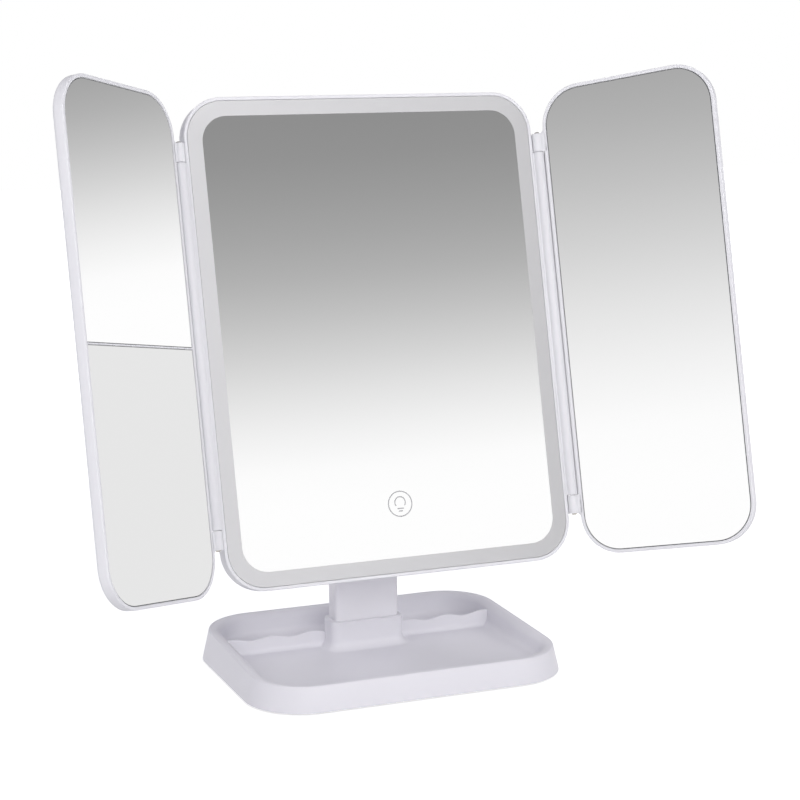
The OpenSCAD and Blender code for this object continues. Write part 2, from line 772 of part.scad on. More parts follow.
// Sheet glued behind the silvered area. Its posts take the rear shell's screws.
module mirror_backing() {
    color("#B8B8BC") on_head() difference() {
        union() {
            translate([0, panel_v, 0]) plate(silver_w, silver_h, silver_r, -glass_back - backing_t, -glass_back);
            for (p = shell_screw_at) translate([p[0], p[1], -post_n])
                cylinder(d = post_d, h = post_n - glass_back - backing_t / 2);
        }
        for (p = shell_screw_at) translate([p[0], p[1], -post_n - 1])
            cylinder(d = screw_d, h = 1 + carrier_bite + 0.3);
    }
}

// ---------- lighting and power ----------

board_in = glass_inset + ledge_w + 0.5;
board_out_w = panel_w - 2 * board_in;
board_out_h = panel_h - 2 * board_in;
board_ring_w = 6;

module light_board() {
    r = panel_r - board_in;
    color("white") on_head() translate([0, panel_v, -board_n]) difference() {
        plate(board_out_w, board_out_h, r, -board_t, 0);
        plate(board_out_w - 2 * board_ring_w, board_out_h - 2 * board_ring_w, r - board_ring_w, -board_t - 1, 1);
    }
}

// One row of diodes along x, centred.
module led_row(length) {
    n = floor(length / led_pitch);
    for (i = [0:n - 1]) translate([(i - (n - 1) / 2) * led_pitch - led_l / 2, -led_w / 2, 0])
        cube([led_l, led_w, led_t]);
}

module leds() {
    mid = board_ring_w / 2;
    straight_w = panel_w - 2 * panel_r;
    straight_h = panel_h - 2 * panel_r;
    color("#FFF7DC") on_head() translate([0, panel_v, -board_n]) for (s = [-1, 1]) {
        translate([0, s * (board_out_h / 2 - mid), 0]) led_row(straight_w);
        translate([s * (board_out_w / 2 - mid), 0, 0]) rotate([0, 0, 90]) led_row(straight_h);
    }
}

driver_gap = 1.5;                             // from the battery bay's wall
driver_u0 = bay_w / 2 + wall + driver_gap;
driver_u1 = housing_w / 2 - wall - 0.5;
driver_n = usb_n + usb_h / 2;                 // rear face of the board, on the inlet's shell
driver_v0 = panel_v;
peg_in = 3.5;                                 // distance of the pegs from the board's edges

module board_pegs() {
    for (u = [driver_u0 + peg_in, driver_u1 - peg_in], v = [driver_v0 + peg_in, driver_v0 + driver_l - peg_in])
        translate([u, v, -back_n + wall / 2]) cylinder(d = 4, h = back_n - wall / 2 + driver_n);
}

module driver_board() {
    color("#2F7A4B") on_head() translate([driver_u0, driver_v0, driver_n]) {
        cube([driver_u1 - driver_u0, driver_l, board_t]);
        translate([6, 34, board_t]) cube([8, 8, 3]);
        translate([6, 16, board_t]) cube([6, 10, 1.6]);
    }
}

module usb_inlet() {
    sheet = 0.3;
    color("silver") on_head() translate([housing_w / 2 - 0.6, usb_v, usb_n]) rotate([0, -90, 0]) difference() {
        linear_extrude(usb_l) round_rect(usb_h, usb_w, 1);
        translate([0, 0, -1]) linear_extrude(usb_l) round_rect(usb_h - 2 * sheet, usb_w - 2 * sheet, 1 - sheet);
    }
}

module touch_sensor() {
    n = glass_back + backing_t;
    color("#D0A040") on_head() translate([0, touch_v, 0]) {
        translate([0, 0, -n - board_t]) cylinder(d = touch_d, h = board_t);
        translate([-4, -3, -n - board_t - 1.5]) cube([8, 6, 1.6]);
    }
}

module battery_door() {
    bay_v = (bay_v0 + bay_v1) / 2;
    color("#E6E6EC") on_head() translate([0, bay_v, -back_n]) difference() {
        union() {
            linear_extrude(door_t) round_rect(door_w, door_h, door_r);
            // snap tongue at the top, hook lips at the bottom
            translate([-6, door_h / 2 - door_lap - 1.2, door_t - eps]) cube([12, 0.8, 3]);
            for (u = [-14, 10]) translate([u, -door_h / 2 + door_lap + 0.4, door_t - eps]) cube([4, 0.8, 2]);
        }
        // thumb groove
        translate([-8, door_h / 2 - 7, -1.4]) rotate([0, 90, 0]) cylinder(r = 2, h = 16);
    }
}

// Axis positions of the four cells, left to right.
function cell_u(i) = (i - 1.5) * (bay_w / 4);
cell_n = bay_floor_n + cell_d / 2 + 0.4;
contact_w = 9;
contact_t = 0.4;

spring_wire = 0.6;
spring_l = 4.5;
spring_turns = 3;
spring_steps = 8;
spring_r = [3.4, 2];        // radius of the coil at its foot and at its tip

// Point i on the wire's centre line, winding along -y.
function spring_point(i) = let (
        f = i / (spring_turns * spring_steps),
        a = 360 * i / spring_steps,
        r = spring_r[0] + (spring_r[1] - spring_r[0]) * f)
    [r * cos(a), -spring_wire / 2 - f * (spring_l - spring_wire), r * sin(a)];

spring_n = spring_turns * spring_steps;
spring_clear = min([for (i = [0:spring_n], j = [0:spring_n]) if (j > i + spring_steps / 2)
    norm(spring_point(i) - spring_point(j))]) - spring_wire;
echo(least_gap_between_spring_turns = spring_clear);

// One contact spring along -y.
module contact_spring() {
    rings = [for (i = [0:spring_n]) let (a = 360 * i / spring_steps, p = spring_point(i))
        for (k = [0:5]) let (b = 60 * k)
            p + spring_wire / 2 * [cos(a) * cos(b), sin(b), sin(a) * cos(b)]];
    sides = [for (i = [0:spring_n - 1], k = [0:5]) let (k2 = (k + 1) % 6)
        each [[i * 6 + k, i * 6 + k2, i * 6 + 6 + k2], [i * 6 + k, i * 6 + 6 + k2, i * 6 + 6 + k]]];
    ends = [for (k = [1:4])
        each [[0, k + 1, k], [spring_n * 6, spring_n * 6 + k, spring_n * 6 + k + 1]]];
    polyhedron(rings, concat(sides, ends));
}

module battery_springs() {
    color("silver") on_head() for (i = [0:3])
        translate([cell_u(i), i % 2 == 0 ? bay_v1 - contact_t : bay_v0 + contact_t, -cell_n])
            rotate([0, 0, i % 2 == 0 ? 0 : 180]) contact_spring();
}

module battery_contacts() {
    color("silver") on_head() for (i = [0:3], end = [0, 1])
        translate([cell_u(i) - contact_w / 2, end == 0 ? bay_v0 : bay_v1 - contact_t, -cell_n - contact_w / 2])
            cube([contact_w, contact_t, contact_w]);
}

// ---------- wings ----------

// Knuckles and arms of a wing, before the pin bores.
module wing_knuckles() {
    for (v = [knuckle_inset, panel_h - knuckle_inset - knuckle_l]) translate([0, v, 0]) {
        rotate([-90, 0, 0]) cylinder(d = barrel_d, h = knuckle_l);
        translate([0, 0, -barrel_d / 2]) cube([wing_offset + 1, knuckle_l, barrel_d / 2]);
    }
}

module wing_bores() {
    for (v = [knuckle_inset - 1, panel_h - knuckle_inset - knuckle_l - 1])
        translate([0, v, 0]) rotate([-90, 0, 0]) cylinder(d = pin_d + 2 * pin_run, h = knuckle_l + 2);
}

// Recess of a wing shell, with or without the rib that parts two mirrors.
module wing_recess(split) {
    w = wing_w - 2 * rim_w;
    h = panel_h - 2 * rim_w;
    difference() {
        translate([wing_offset + wing_w / 2, panel_v, 0]) plate(w, h, wing_r - rim_w, -wing_seat_n, 1);
        if (split) translate([wing_offset, rim_w + lower_mirror_h, -wing_seat_n - 1])
            cube([wing_w, split_rib_w, wing_seat_n + 1 - glass_recess / 2]);
    }
}

module wing_shell(split) {
    difference() {
        union() {
            translate([wing_offset + wing_w / 2, panel_v, 0])
                soft_slab(wing_w, panel_h, wing_r, wing_t, wing_edge_r);
            wing_knuckles();
        }
        wing_recess(split);
        wing_bores();
        if (split) {
            rib_pockets(rim_w, split_v, pocket_rows / 2);
            rib_pockets(split_v + split_rib_w, panel_h - rim_w, pocket_rows / 2);
        } else rib_pockets(rim_w, panel_h - rim_w, pocket_rows);
    }
}

// Pockets in the recess floor between two heights, which leave ribs to carry the tape.
module rib_pockets(v0, v1, rows) {
    w = (wing_w - 2 * (rim_w + pocket_margin) - rib_t) / 2;
    h = (v1 - v0 - 2 * pocket_margin - (rows - 1) * rib_t) / rows;
    for (i = [0, 1], j = [0:rows - 1])
        translate([wing_offset + rim_w + pocket_margin + w / 2 + i * (w + rib_t),
                   v0 + pocket_margin + h / 2 + j * (h + rib_t), wall - wing_t])
            linear_extrude(wing_t - wall) round_rect(w, h, 5);
}

// A mirror or tape for the wing recess between two heights, from depth d0 to d1.
module wing_sheet(v0, v1, d0, d1) {
    intersection() {
        translate([wing_offset + wing_w / 2, panel_v, 0])
            plate(wing_mirror_w, wing_mirror_h, wing_mirror_r, -d1, -d0);
        translate([0, v0, -wing_t]) cube([2 * wing_w, v1 - v0, 2 * wing_t]);
    }
}

split_v = rim_w + lower_mirror_h;         // lower edge of the rib between the left wing's mirrors

module wing_tape(v0, v1) {
    translate([wing_offset + rim_w + tape_margin, v0 + tape_margin, -wing_seat_n])
        cube([wing_w - 2 * (rim_w + tape_margin), v1 - v0 - 2 * tape_margin, tape_t]);
}

module wing_pins() {
    for (end = [0, 1]) translate([0, end == 0 ? 0 : panel_h, 0]) mirror([0, end, 0]) {
        translate([0, knuckle_inset, 0]) rotate([-90, 0, 0])
            cylinder(d = pin_d, h = knuckle_l + knuckle_gap + pin_grip);
        translate([0, knuckle_inset - 0.1, 0]) rotate([90, 0, 0]) intersection() {
            translate([0, 0, pin_head_h - pin_head_d * 0.8]) sphere(r = pin_head_d * 0.8);
            cylinder(d = pin_head_d, h = pin_head_h);
        }
        translate([0, knuckle_inset - 0.1, 0]) rotate([-90, 0, 0]) cylinder(d = pin_d, h = 1);
    }
}

module left_wing_shell() { color("#EDEDF2") on_wing(-1) wing_shell(true); }
module right_wing_shell() { color("#EDEDF2") on_wing(1) wing_shell(false); }

module left_upper_mirror() {
    color("#C8CACC") on_wing(-1)
        wing_sheet(split_v + split_rib_w + wing_rim_gap, panel_h, glass_recess, glass_recess + wing_glass_t);
}
module left_lower_mirror() {
    color("#E0E0E2") on_wing(-1)
        wing_sheet(0, split_v - wing_rim_gap, glass_recess, glass_recess + wing_glass_t);
}
module right_mirror() {
    color("#C8CACC") on_wing(1) wing_sheet(0, panel_h, glass_recess, glass_recess + wing_glass_t);
}
module left_upper_tape() { color("white") on_wing(-1) wing_tape(split_v + split_rib_w, panel_h - rim_w); }
module left_lower_tape() { color("white") on_wing(-1) wing_tape(rim_w, split_v); }
module right_tape() { color("white") on_wing(1) wing_tape(rim_w, panel_h - rim_w); }
module left_hinge_pins() { color("silver") on_wing(-1) wing_pins(); }
module right_hinge_pins() { color("silver") on_wing(1) wing_pins(); }

// ---------- nodes ----------

base_tray();
bottom_cover();
rubber_feet();
base_screws();
neck_front_shell();
neck_rear_shell();
neck_screws();
tilt_bracket();
bracket_screws();
tilt_axle();
tilt_nut();
friction_washers();
centre_bezel();
rear_shell();
shell_screws();
centre_glass();
mirror_backing();
light_board();
leds();
driver_board();
touch_sensor();
usb_inlet();
battery_door();
battery_springs();
battery_contacts();
left_wing_shell();
left_upper_mirror();
left_lower_mirror();
left_upper_tape();
left_lower_tape();
left_hinge_pins();
right_wing_shell();
right_mirror();
right_tape();
right_hinge_pins();
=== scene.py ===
from math import asin, atan2, cos, degrees, pi, radians, sin

import bmesh
import bpy
from mathutils import Matrix, Vector


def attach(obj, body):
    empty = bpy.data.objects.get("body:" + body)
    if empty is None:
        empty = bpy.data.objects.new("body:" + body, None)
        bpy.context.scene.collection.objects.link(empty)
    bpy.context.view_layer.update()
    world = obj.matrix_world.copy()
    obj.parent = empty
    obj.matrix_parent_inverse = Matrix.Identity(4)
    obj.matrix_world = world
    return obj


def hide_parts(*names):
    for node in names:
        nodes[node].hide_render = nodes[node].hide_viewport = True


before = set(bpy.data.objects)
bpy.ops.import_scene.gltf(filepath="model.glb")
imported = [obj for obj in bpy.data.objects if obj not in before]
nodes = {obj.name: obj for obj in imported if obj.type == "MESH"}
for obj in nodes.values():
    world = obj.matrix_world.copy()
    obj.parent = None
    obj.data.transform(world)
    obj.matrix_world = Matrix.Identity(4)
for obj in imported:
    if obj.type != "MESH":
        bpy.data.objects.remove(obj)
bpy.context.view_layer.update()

scene = bpy.context.scene
print("frame loaded:", len(nodes), "CAD nodes")

# where things stand, in mm and degrees: the head leans back, the wings fold forward
pose = {
    "baseX": 1.75, "baseY": 20.05, "headTilt": 14, "axisY": 23.5, "axisZ": 180, "axisDepth": 36,
    "panelMid": 130.25, "leftFold": 43, "rightFold": 46, "hingeU": 103.2, "hingeRise": 0.4,
}
basePlace = Matrix.Scale(0.001, 4) @ Matrix.Translation((pose["baseX"], pose["baseY"], 0))
headPlace = (basePlace @ Matrix.Translation((0, pose["axisY"], pose["axisZ"]))
             @ Matrix.Rotation(radians(90 - pose["headTilt"]), 4, "X")
             @ Matrix.Translation((0, -pose["panelMid"], pose["axisDepth"])))


# a wing's frame: x from the hinge axis to the tip, y up, z out of its mirror
def wingPlace(side):
    fold = pose["leftFold"] if side < 0 else pose["rightFold"]
    return (headPlace @ Matrix.Diagonal((side, 1, 1, 1))
            @ Matrix.Translation((pose["hingeU"], 0, pose["hingeRise"]))
            @ Matrix.Rotation(radians(-fold), 4, "Y"))


def hexColour(code):
    parts = [int(code[i:i + 2], 16) / 255 for i in (1, 3, 5)]
    return [c / 12.92 if c <= 0.04045 else ((c + 0.055) / 1.055) ** 2.4 for c in parts] + [1]


# adds a node with its settings; a link is a socket, or a node for its first output; the rest are values
def addNode(tree, kind, links=None, **settings):
    node = tree.nodes.new(kind)
    for key, value in settings.items():
        setattr(node, key, value)
    for socket, value in (links or {}).items():
        if isinstance(value, bpy.types.Node):
            value = value.outputs[0]
        if isinstance(value, bpy.types.NodeSocket):
            tree.links.new(value, node.inputs[socket])
        else:
            node.inputs[socket].default_value = value
    return node


# an empty material, and the coordinates that its patterns are drawn on
def newMaterial(name):
    material = bpy.data.materials.new(name)
    material.use_nodes = True
    tree = material.node_tree
    tree.nodes.clear()
    return material, tree, addNode(tree, "ShaderNodeTexCoord").outputs["Object"]


grainDepth = 0.00005  # metres


# two close tones mixed by one pattern and a fine bump from another, on a shader with these settings
def endMaterial(tree, tones, mixBy, bumpBy, strength, settings):
    tone = addNode(tree, "ShaderNodeMix", {"Factor": mixBy, "A": hexColour(tones[0]),
                                           "B": hexColour(tones[1])}, data_type="RGBA")
    bump = addNode(tree, "ShaderNodeBump", {"Height": bumpBy, "Strength": strength, "Distance": grainDepth})
    shader = addNode(tree, "ShaderNodeBsdfPrincipled",
                     {"Base Color": tone.outputs["Result"], "Normal": bump, **settings})
    addNode(tree, "ShaderNodeOutputMaterial", {"Surface": shader})


# 1 for glossy rays, and 1 for rays from the camera, straight or through glass
def rayKinds(tree):
    rays = addNode(tree, "ShaderNodeLightPath").outputs
    seen = addNode(tree, "ShaderNodeMath", {0: rays["Is Camera Ray"], 1: rays["Is Transmission Ray"]},
                   operation="MAXIMUM")
    return rays["Is Glossy Ray"], seen


def newMesh(name, points, faces=()):
    mesh = bpy.data.meshes.new(name)
    mesh.from_pydata(points, [], faces)
    return mesh


def newObject(name, data):
    item = bpy.data.objects.new(name, data)
    scene.collection.objects.link(item)
    return item


# a round-cornered rectangle as (point, outward normal) pairs, counter-clockwise
def outline(width, height, radius, cornerSteps=14, sideSteps=6):
    centres = [(width / 2 - radius, height / 2 - radius), (radius - width / 2, height / 2 - radius),
               (radius - width / 2, radius - height / 2), (width / 2 - radius, radius - height / 2)]
    pairs = []
    for k, (cx, cy) in enumerate(centres):
        for i in range(cornerSteps + 1):
            a = radians(90 * (k + i / cornerSteps))
            pairs.append((Vector((cx + radius * cos(a), cy + radius * sin(a))), Vector((cos(a), sin(a)))))
        last, normal = pairs[-1]
        first = Vector(centres[(k + 1) % 4]) + normal * radius
        for i in range(1, sideSteps):
            pairs.append((last.lerp(first, i / sideSteps), normal))
    return pairs


# the outline moved inward by inset, at height z
def ring(pairs, inset, z, centre=(0, 0)):
    spots = [point - normal * inset for point, normal in pairs]
    return [(spot.x + centre[0], spot.y + centre[1], z) for spot in spots]


# a convex, counter-clockwise outline drawn in by a distance
def drawnIn(points, distance):
    out = []
    for i, p in enumerate(points):
        a, b = points[i - 1], points[(i + 1) % len(points)]
        before = Vector((a.y - p.y, p.x - a.x)).normalized()
        after = Vector((p.y - b.y, b.x - p.x)).normalized()
        out.append(p + (before + after) * distance / (1 + before.dot(after)))
    return out


def arcSteps(centre, radius, start, end, steps=5, rise=None):
    angles = [radians(start + (end - start) * i / steps) for i in range(steps + 1)]
    return [(centre[0] + radius * cos(a), centre[1] + (rise or radius) * sin(a)) for a in angles]


# skins rings of equally many points, one after another
def loft(rings):
    count = len(rings[0])
    faces = [tuple(range(count))[::-1], tuple((len(rings) - 1) * count + i for i in range(count))]
    for k in range(len(rings) - 1):
        a, b = k * count, (k + 1) * count
        faces += [(a + i, a + (i + 1) % count, b + (i + 1) % count, b + i) for i in range(count)]
    return newMesh("loft", [p for points in rings for p in points], faces)


# a flat profile carried straight from z0 to z1
def extrude(points, z0, z1):
    return loft([[(x, y, z) for x, y in points] for z in (z0, z1)])


# a round-cornered plate with its edges eased at the bottom and at the top
def plate(width, height, radius, z0, z1, centre=(0, 0), low=0, high=0, steps=8):
    section = arcSteps((low, z0 + low), low, 270, 180, steps) if low else [(0, z0)]
    section += arcSteps((high, z1 - high), high, 180, 90, steps) if high else [(0, z1)]
    return loft([ring(outline(width, height, radius), x, z, centre) for x, z in section])


# a profile of (radius, height) pairs turned round the z axis
def turn(profile, steps=48):
    return loft([[(max(r, 0.001) * cos(2 * pi * i / steps), max(r, 0.001) * sin(2 * pi * i / steps), z)
                  for i in range(steps)] for r, z in profile])


# a plain round peg from z0 to z1
def peg(width, z0, z1, steps):
    return turn([(0, z0), (width / 2, z0), (width / 2, z1), (0, z1)], steps)


def placed(mesh, matrix):
    mesh.transform(matrix)
    if matrix.determinant() < 0:
        mesh.flip_normals()
    return mesh


def shifted(mesh, x, y, z=0):
    return placed(mesh, Matrix.Translation((x, y, z)))


def joined(meshes):
    work = bmesh.new()
    for mesh in meshes:
        work.from_mesh(mesh)
    mesh = bpy.data.meshes.new("joined")
    work.to_mesh(mesh)
    work.free()
    return mesh


# doubles merged, then the faces of each closed shell turned outward
def turnedOut(mesh):
    work = bmesh.new()
    work.from_mesh(mesh)
    bmesh.ops.remove_doubles(work, verts=work.verts, dist=1e-5)
    bmesh.ops.dissolve_degenerate(work, edges=work.edges, dist=1e-6)
    bmesh.ops.recalc_face_normals(work, faces=work.faces)
    work.to_mesh(mesh)
    work.free()
    return mesh


# what an object's modifiers leave, as a plain mesh; the object itself goes
def plainMesh(holder):
    result = bpy.data.meshes.new_from_object(holder.evaluated_get(bpy.context.evaluated_depsgraph_get()))
    holder.modifiers.clear()
    bpy.data.objects.remove(holder)
    return result


def modified(mesh, kind, **settings):
    holder = newObject("holder", mesh)
    modifier = holder.modifiers.new(kind, kind)
    for key, value in settings.items():
        setattr(modifier, key, value)
    return plainMesh(holder)


def eased(mesh, width, angle):
    return modified(mesh, "BEVEL", width=width, segments=2, limit_method="ANGLE", angle_limit=radians(angle),
                    miter_outer="MITER_ARC", use_clamp_overlap=True)


# a with each of the others added or cut away
def carved(a, others, operation="DIFFERENCE"):
    a = turnedOut(a)
    for b in others:
        other = newObject("other", turnedOut(b))
        a = modified(a, "BOOLEAN", object=other, operation=operation, solver="EXACT")
        bpy.data.objects.remove(other)
    return a


# puts a mesh in its place, in metres with its object at the origin, hangs it on its body and hides the CAD
# nodes it replaces
def addPiece(name, mesh, place, body, materials, replaced=(), angle=35):
    if place is not None:
        mesh = placed(turnedOut(mesh), place)
    mesh.name = name
    for polygon in mesh.polygons:
        polygon.use_smooth = True
    mesh.set_sharp_from_angle(angle=radians(angle))
    given = materials if isinstance(materials, (list, tuple)) else [materials]
    picked = [min(polygon.material_index, len(given) - 1) for polygon in mesh.polygons]
    mesh.materials.clear()
    for material in given:
        mesh.materials.append(material)
    mesh.polygons.foreach_set("material_index", picked)
    piece = newObject(name, mesh)
    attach(piece, body)
    if replaced:
        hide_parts(*replaced)
    # in the photo the mirrors show the studio, not one another
    piece.visible_glossy = body in ("base", "neck")
    return piece


# a copy of a CAD node with its loose triangles merged and its hard edges eased
def softened(node, width):
    work = bmesh.new()
    work.from_mesh(nodes[node].data)
    bmesh.ops.remove_doubles(work, verts=work.verts, dist=2e-6)
    bmesh.ops.dissolve_limit(work, angle_limit=radians(1), verts=work.verts, edges=work.edges)
    mesh = bpy.data.meshes.new(node)
    work.to_mesh(mesh)
    work.free()
    return eased(mesh, width / 1000, 32)


# an empty tree with these inputs, by kind, and one for its material
def newTree(name, **inputs):
    tree = bpy.data.node_groups.new(name, "GeometryNodeTree")
    for kind, labels in {**inputs, "Material": ["Material"]}.items():
        for label in labels:
            tree.interface.new_socket(label, in_out="INPUT", socket_type="NodeSocket" + kind)
    tree.interface.new_socket("Geometry", in_out="OUTPUT", socket_type="NodeSocketGeometry")
    return tree, tree.nodes.new("NodeGroupInput").outputs


def endTree(tree, geometry, material):
    real = addNode(tree, "GeometryNodeRealizeInstances", {0: geometry})
    painted = addNode(tree, "GeometryNodeSetMaterial", {"Geometry": real, "Material": material})
    addNode(tree, "NodeGroupOutput", {"Geometry": painted})


# what the tree makes of the points, as a plain mesh; its input "Wave Height" takes the value waveHeight
def runTree(tree, points=(), **values):
    holder = newObject("holder", newMesh("points", list(points)))
    modifier = holder.modifiers.new("tree", "NODES")
    modifier.node_group = tree
    for item in tree.interface.items_tree:
        value = values.get(item.name[0].lower() + item.name[1:].replace(" ", ""))
        if item.in_out == "INPUT" and value is not None:
            modifier[item.identifier] = float(value) if item.socket_type == "NodeSocketFloat" else value
    return plainMesh(holder)


# runs a tree that carries a closed section: pairs of a number outward and one up
def runSection(tree, section, **values):
    curve = bpy.data.curves.new("section", "CURVE")
    spline = curve.splines.new("POLY")
    spline.points.add(len(section) - 1)
    for target, (x, up) in zip(spline.points, section):
        target.co = (x, -up, 0, 1)
    spline.use_cyclic_u = True
    line = newObject("section", curve)
    mesh = runTree(tree, profile=line, **values)
    bpy.data.objects.remove(line)
    return mesh


# carries the section along a path, its second number upward
def sweep(tree, path, section):
    upright = addNode(tree, "GeometryNodeSetCurveNormal", {"Curve": path}, mode="Z_UP")
    profile = addNode(tree, "GeometryNodeObjectInfo", {"Object": section})
    return addNode(tree, "GeometryNodeCurveToMesh", {
        "Curve": upright, "Profile Curve": profile.outputs["Geometry"], "Fill Caps": True})


# a frame with this section round a round-cornered rectangle
def makeFrameTree():
    tree, given = newTree("framedProfile", Float=["Width", "Height", "Corner Radius"],
                          Int=["Corner Steps"], Object=["Profile"])
    path = addNode(tree, "GeometryNodeCurvePrimitiveQuadrilateral",
                   {"Width": given["Width"], "Height": given["Height"]})
    rounded = addNode(tree, "GeometryNodeFilletCurve", {
        "Curve": path, "Count": given["Corner Steps"], "Radius": given["Corner Radius"]}, mode="POLY")
    endTree(tree, sweep(tree, rounded, given["Profile"]), given["Material"])
    return tree


# puts a copy of one object on each point: turned alike, each spun about its own axis by chance
def makeCopyTree():
    tree, given = newTree("placedCopies", Geometry=["Points"], Object=["Copy"], Vector=["Turn"],
                          Float=["Spin"], Int=["Seed"])
    copy = addNode(tree, "GeometryNodeObjectInfo", {"Object": given["Copy"]})
    turned = addNode(tree, "FunctionNodeEulerToRotation", {0: given["Turn"]})
    copies = addNode(tree, "GeometryNodeInstanceOnPoints", {
        "Points": given["Points"], "Instance": copy.outputs["Geometry"], "Rotation": turned})
    chance = addNode(tree, "FunctionNodeRandomValue", {3: given["Spin"], "Seed": given["Seed"]},
                     data_type="FLOAT")
    about = addNode(tree, "ShaderNodeCombineXYZ", {"Z": chance.outputs[1]})
    spun = addNode(tree, "FunctionNodeEulerToRotation", {0: about})
    whirled = addNode(tree, "GeometryNodeRotateInstances",
                      {"Instances": copies, "Rotation": spun, "Local Space": True})
    endTree(tree, whirled, given["Material"])
    return tree


# a wire wound into a tapered coil
def makeCoilTree():
    tree, given = newTree("contactCoil", Int=["Coil Steps", "Wire Sides"],
                          Float=["Turns", "Foot Radius", "Tip Radius", "Length", "Wire Radius"])
    line = addNode(tree, "GeometryNodeCurveSpiral", {
        "Resolution": given["Coil Steps"], "Rotations": given["Turns"], "Start Radius": given["Foot Radius"],
        "End Radius": given["Tip Radius"], "Height": given["Length"]})
    wire = addNode(tree, "GeometryNodeCurvePrimitiveCircle",
                   {"Resolution": given["Wire Sides"], "Radius": given["Wire Radius"]})
    coil = addNode(tree, "GeometryNodeCurveToMesh", {"Curve": line, "Profile Curve": wire, "Fill Caps": True})
    endTree(tree, coil, given["Material"])
    return tree


copyTree = makeCopyTree()
turnedOver = (pi, 0, 0)


def placedCopies(copy, points, turnBy, material, spin=0.0, seed=0):
    source = newObject("source", turnedOut(copy))
    mesh = runTree(copyTree, points, copy=source, turn=turnBy, spin=spin, seed=seed, material=material)
    bpy.data.objects.remove(source)
    return mesh


# ABS, injection moulded, fine spark-eroded grain: an even satin sheen over a lilac white
def mouldedAbs(name, colour, shade, roughness=0.38):
    material, tree, place = newMaterial(name)
    # flow of the melt and handling, some 40 mm across: a hint of tone
    flow = addNode(tree, "ShaderNodeTexNoise", {"Vector": place, "Scale": 25, "Detail": 3})
    # the mould's grain is 0.15 mm; drawn 0.5 mm across so that it shows at this size
    grain = addNode(tree, "ShaderNodeTexNoise", {"Vector": place, "Scale": 2000, "Detail": 2})
    sheen = addNode(tree, "ShaderNodeMapRange", {"Value": flow, "To Min": roughness - 0.05,
                                                 "To Max": roughness + 0.05})
    endMaterial(tree, (colour, shade), flow, grain, 0.03, {"Roughness": sheen, "IOR": 1.54})
    return material


# float glass silvered on its back: a clear reflection, a little softer where a cloth went over it
def silveredGlass(name, colour, roughness=0.025):
    material, tree, place = newMaterial(name)
    # wiping marks some 30 mm long and 10 mm wide
    along = addNode(tree, "ShaderNodeMapping", {"Vector": place, "Scale": (90, 90, 30)})
    wiped = addNode(tree, "ShaderNodeTexNoise", {"Vector": along, "Scale": 1, "Detail": 4})
    haze = addNode(tree, "ShaderNodeMapRange", {"Value": wiped, "To Min": roughness,
                                                "To Max": roughness + 0.02})
    shader = addNode(tree, "ShaderNodeBsdfPrincipled",
                     {"Base Color": hexColour(colour), "Metallic": 1, "Roughness": haze})
    addNode(tree, "ShaderNodeOutputMaterial", {"Surface": shader})
    return material


# a plain finish: two close tones and a fine bump, with grains so many millimetres across
def fineFinish(name, colour, shade, grainSize, metallic=0.0, roughness=0.5, ior=1.5, strength=0.1):
    material, tree, place = newMaterial(name)
    grain = addNode(tree, "ShaderNodeTexNoise",
                    {"Vector": place, "Scale": 1000 / grainSize, "Detail": 3})
    endMaterial(tree, (colour, shade), grain, grain, strength,
                {"Metallic": metallic, "Roughness": roughness, "IOR": ior})
    return material


whiteAbs = mouldedAbs("whiteMouldedAbs", "#E4E4E8", "#E0E0E4")
neckAbs = mouldedAbs("neckMouldedAbs", "#F0EFF3", "#ECEBEF")
trayAbs = mouldedAbs("satinTrayAbs", "#E1E0E6", "#DDDCE2")
coverAbs = mouldedAbs("matteCoverAbs", "#DCDBE2", "#D8D7DE", 0.5)
# clear over bright silver; the lens glass in the lower left is greyer
centreSilver = silveredGlass("silveredFloatGlass", "#FEFEFE")
lowerSilver = silveredGlass("silveredLensGlass", "#E6E6E6")
# acid-etched glass over the white light board: matt; its tone is painted light, paler to the left and darker
# to the right, as the studio's light falls on it; pits drawn 0.4 mm across
etched = {"left": "#D2D2D3", "right": "#C1C1C2", "halfWidth": 0.1, "pits": 0.4, "strength": 0.08,
          "roughness": (0.55, 0.65)}
etchedGlassPaintedLight, tree, place = newMaterial("acidEtchedGlass")
# painted light: the tone runs across the panel from the paler left to the darker right
x = addNode(tree, "ShaderNodeSeparateXYZ", {0: place}).outputs["X"]
across = addNode(tree, "ShaderNodeMapRange", {"Value": x, "From Min": -etched["halfWidth"],
                                              "From Max": etched["halfWidth"]})
pits = addNode(tree, "ShaderNodeTexNoise", {"Vector": place, "Scale": 1000 / etched["pits"], "Detail": 3})
matt = addNode(tree, "ShaderNodeMapRange", {"Value": pits, "To Min": etched["roughness"][0],
                                            "To Max": etched["roughness"][1]})
endMaterial(tree, (etched["left"], etched["right"]), across, pits, etched["strength"],
            {"Roughness": matt, "IOR": 1.52})
# a mirror's ground edge, unsilvered: the eye sees dark grey in it
groundEdge = fineFinish("groundGlassEdge", "#696B6D", "#5D5F61", 0.3, roughness=0.65, ior=1.52)
# bead-blasted out of the silver: a matt grey line
markGrey = fineFinish("blastedMarkGrey", "#B0B0B2", "#A6A6A8", 0.4, roughness=0.7)
# moulded silicone: matt, slightly mottled
footRubber = fineFinish("greySiliconeRubber", "#8A8A8E", "#808084", 0.6, roughness=0.75, ior=1.43)
# zinc-plated steel: pale blue-white, slightly mottled
zincSteel = fineFinish("zincPlatedSteel", "#C4C6CA", "#B2B5BA", 1.5, metallic=1.0, roughness=0.32)
# nickel-plated wire and strip: warmer and brighter
nickelSteel = fineFinish("nickelPlatedSteel", "#CFCBC2", "#C2BEB6", 1.0, metallic=1.0, roughness=0.24)
# pressed fibre: dull, speckled brown-grey
fibreDisc = fineFinish("pressedFibre", "#6E6A66", "#5E5A57", 0.5, roughness=0.85)
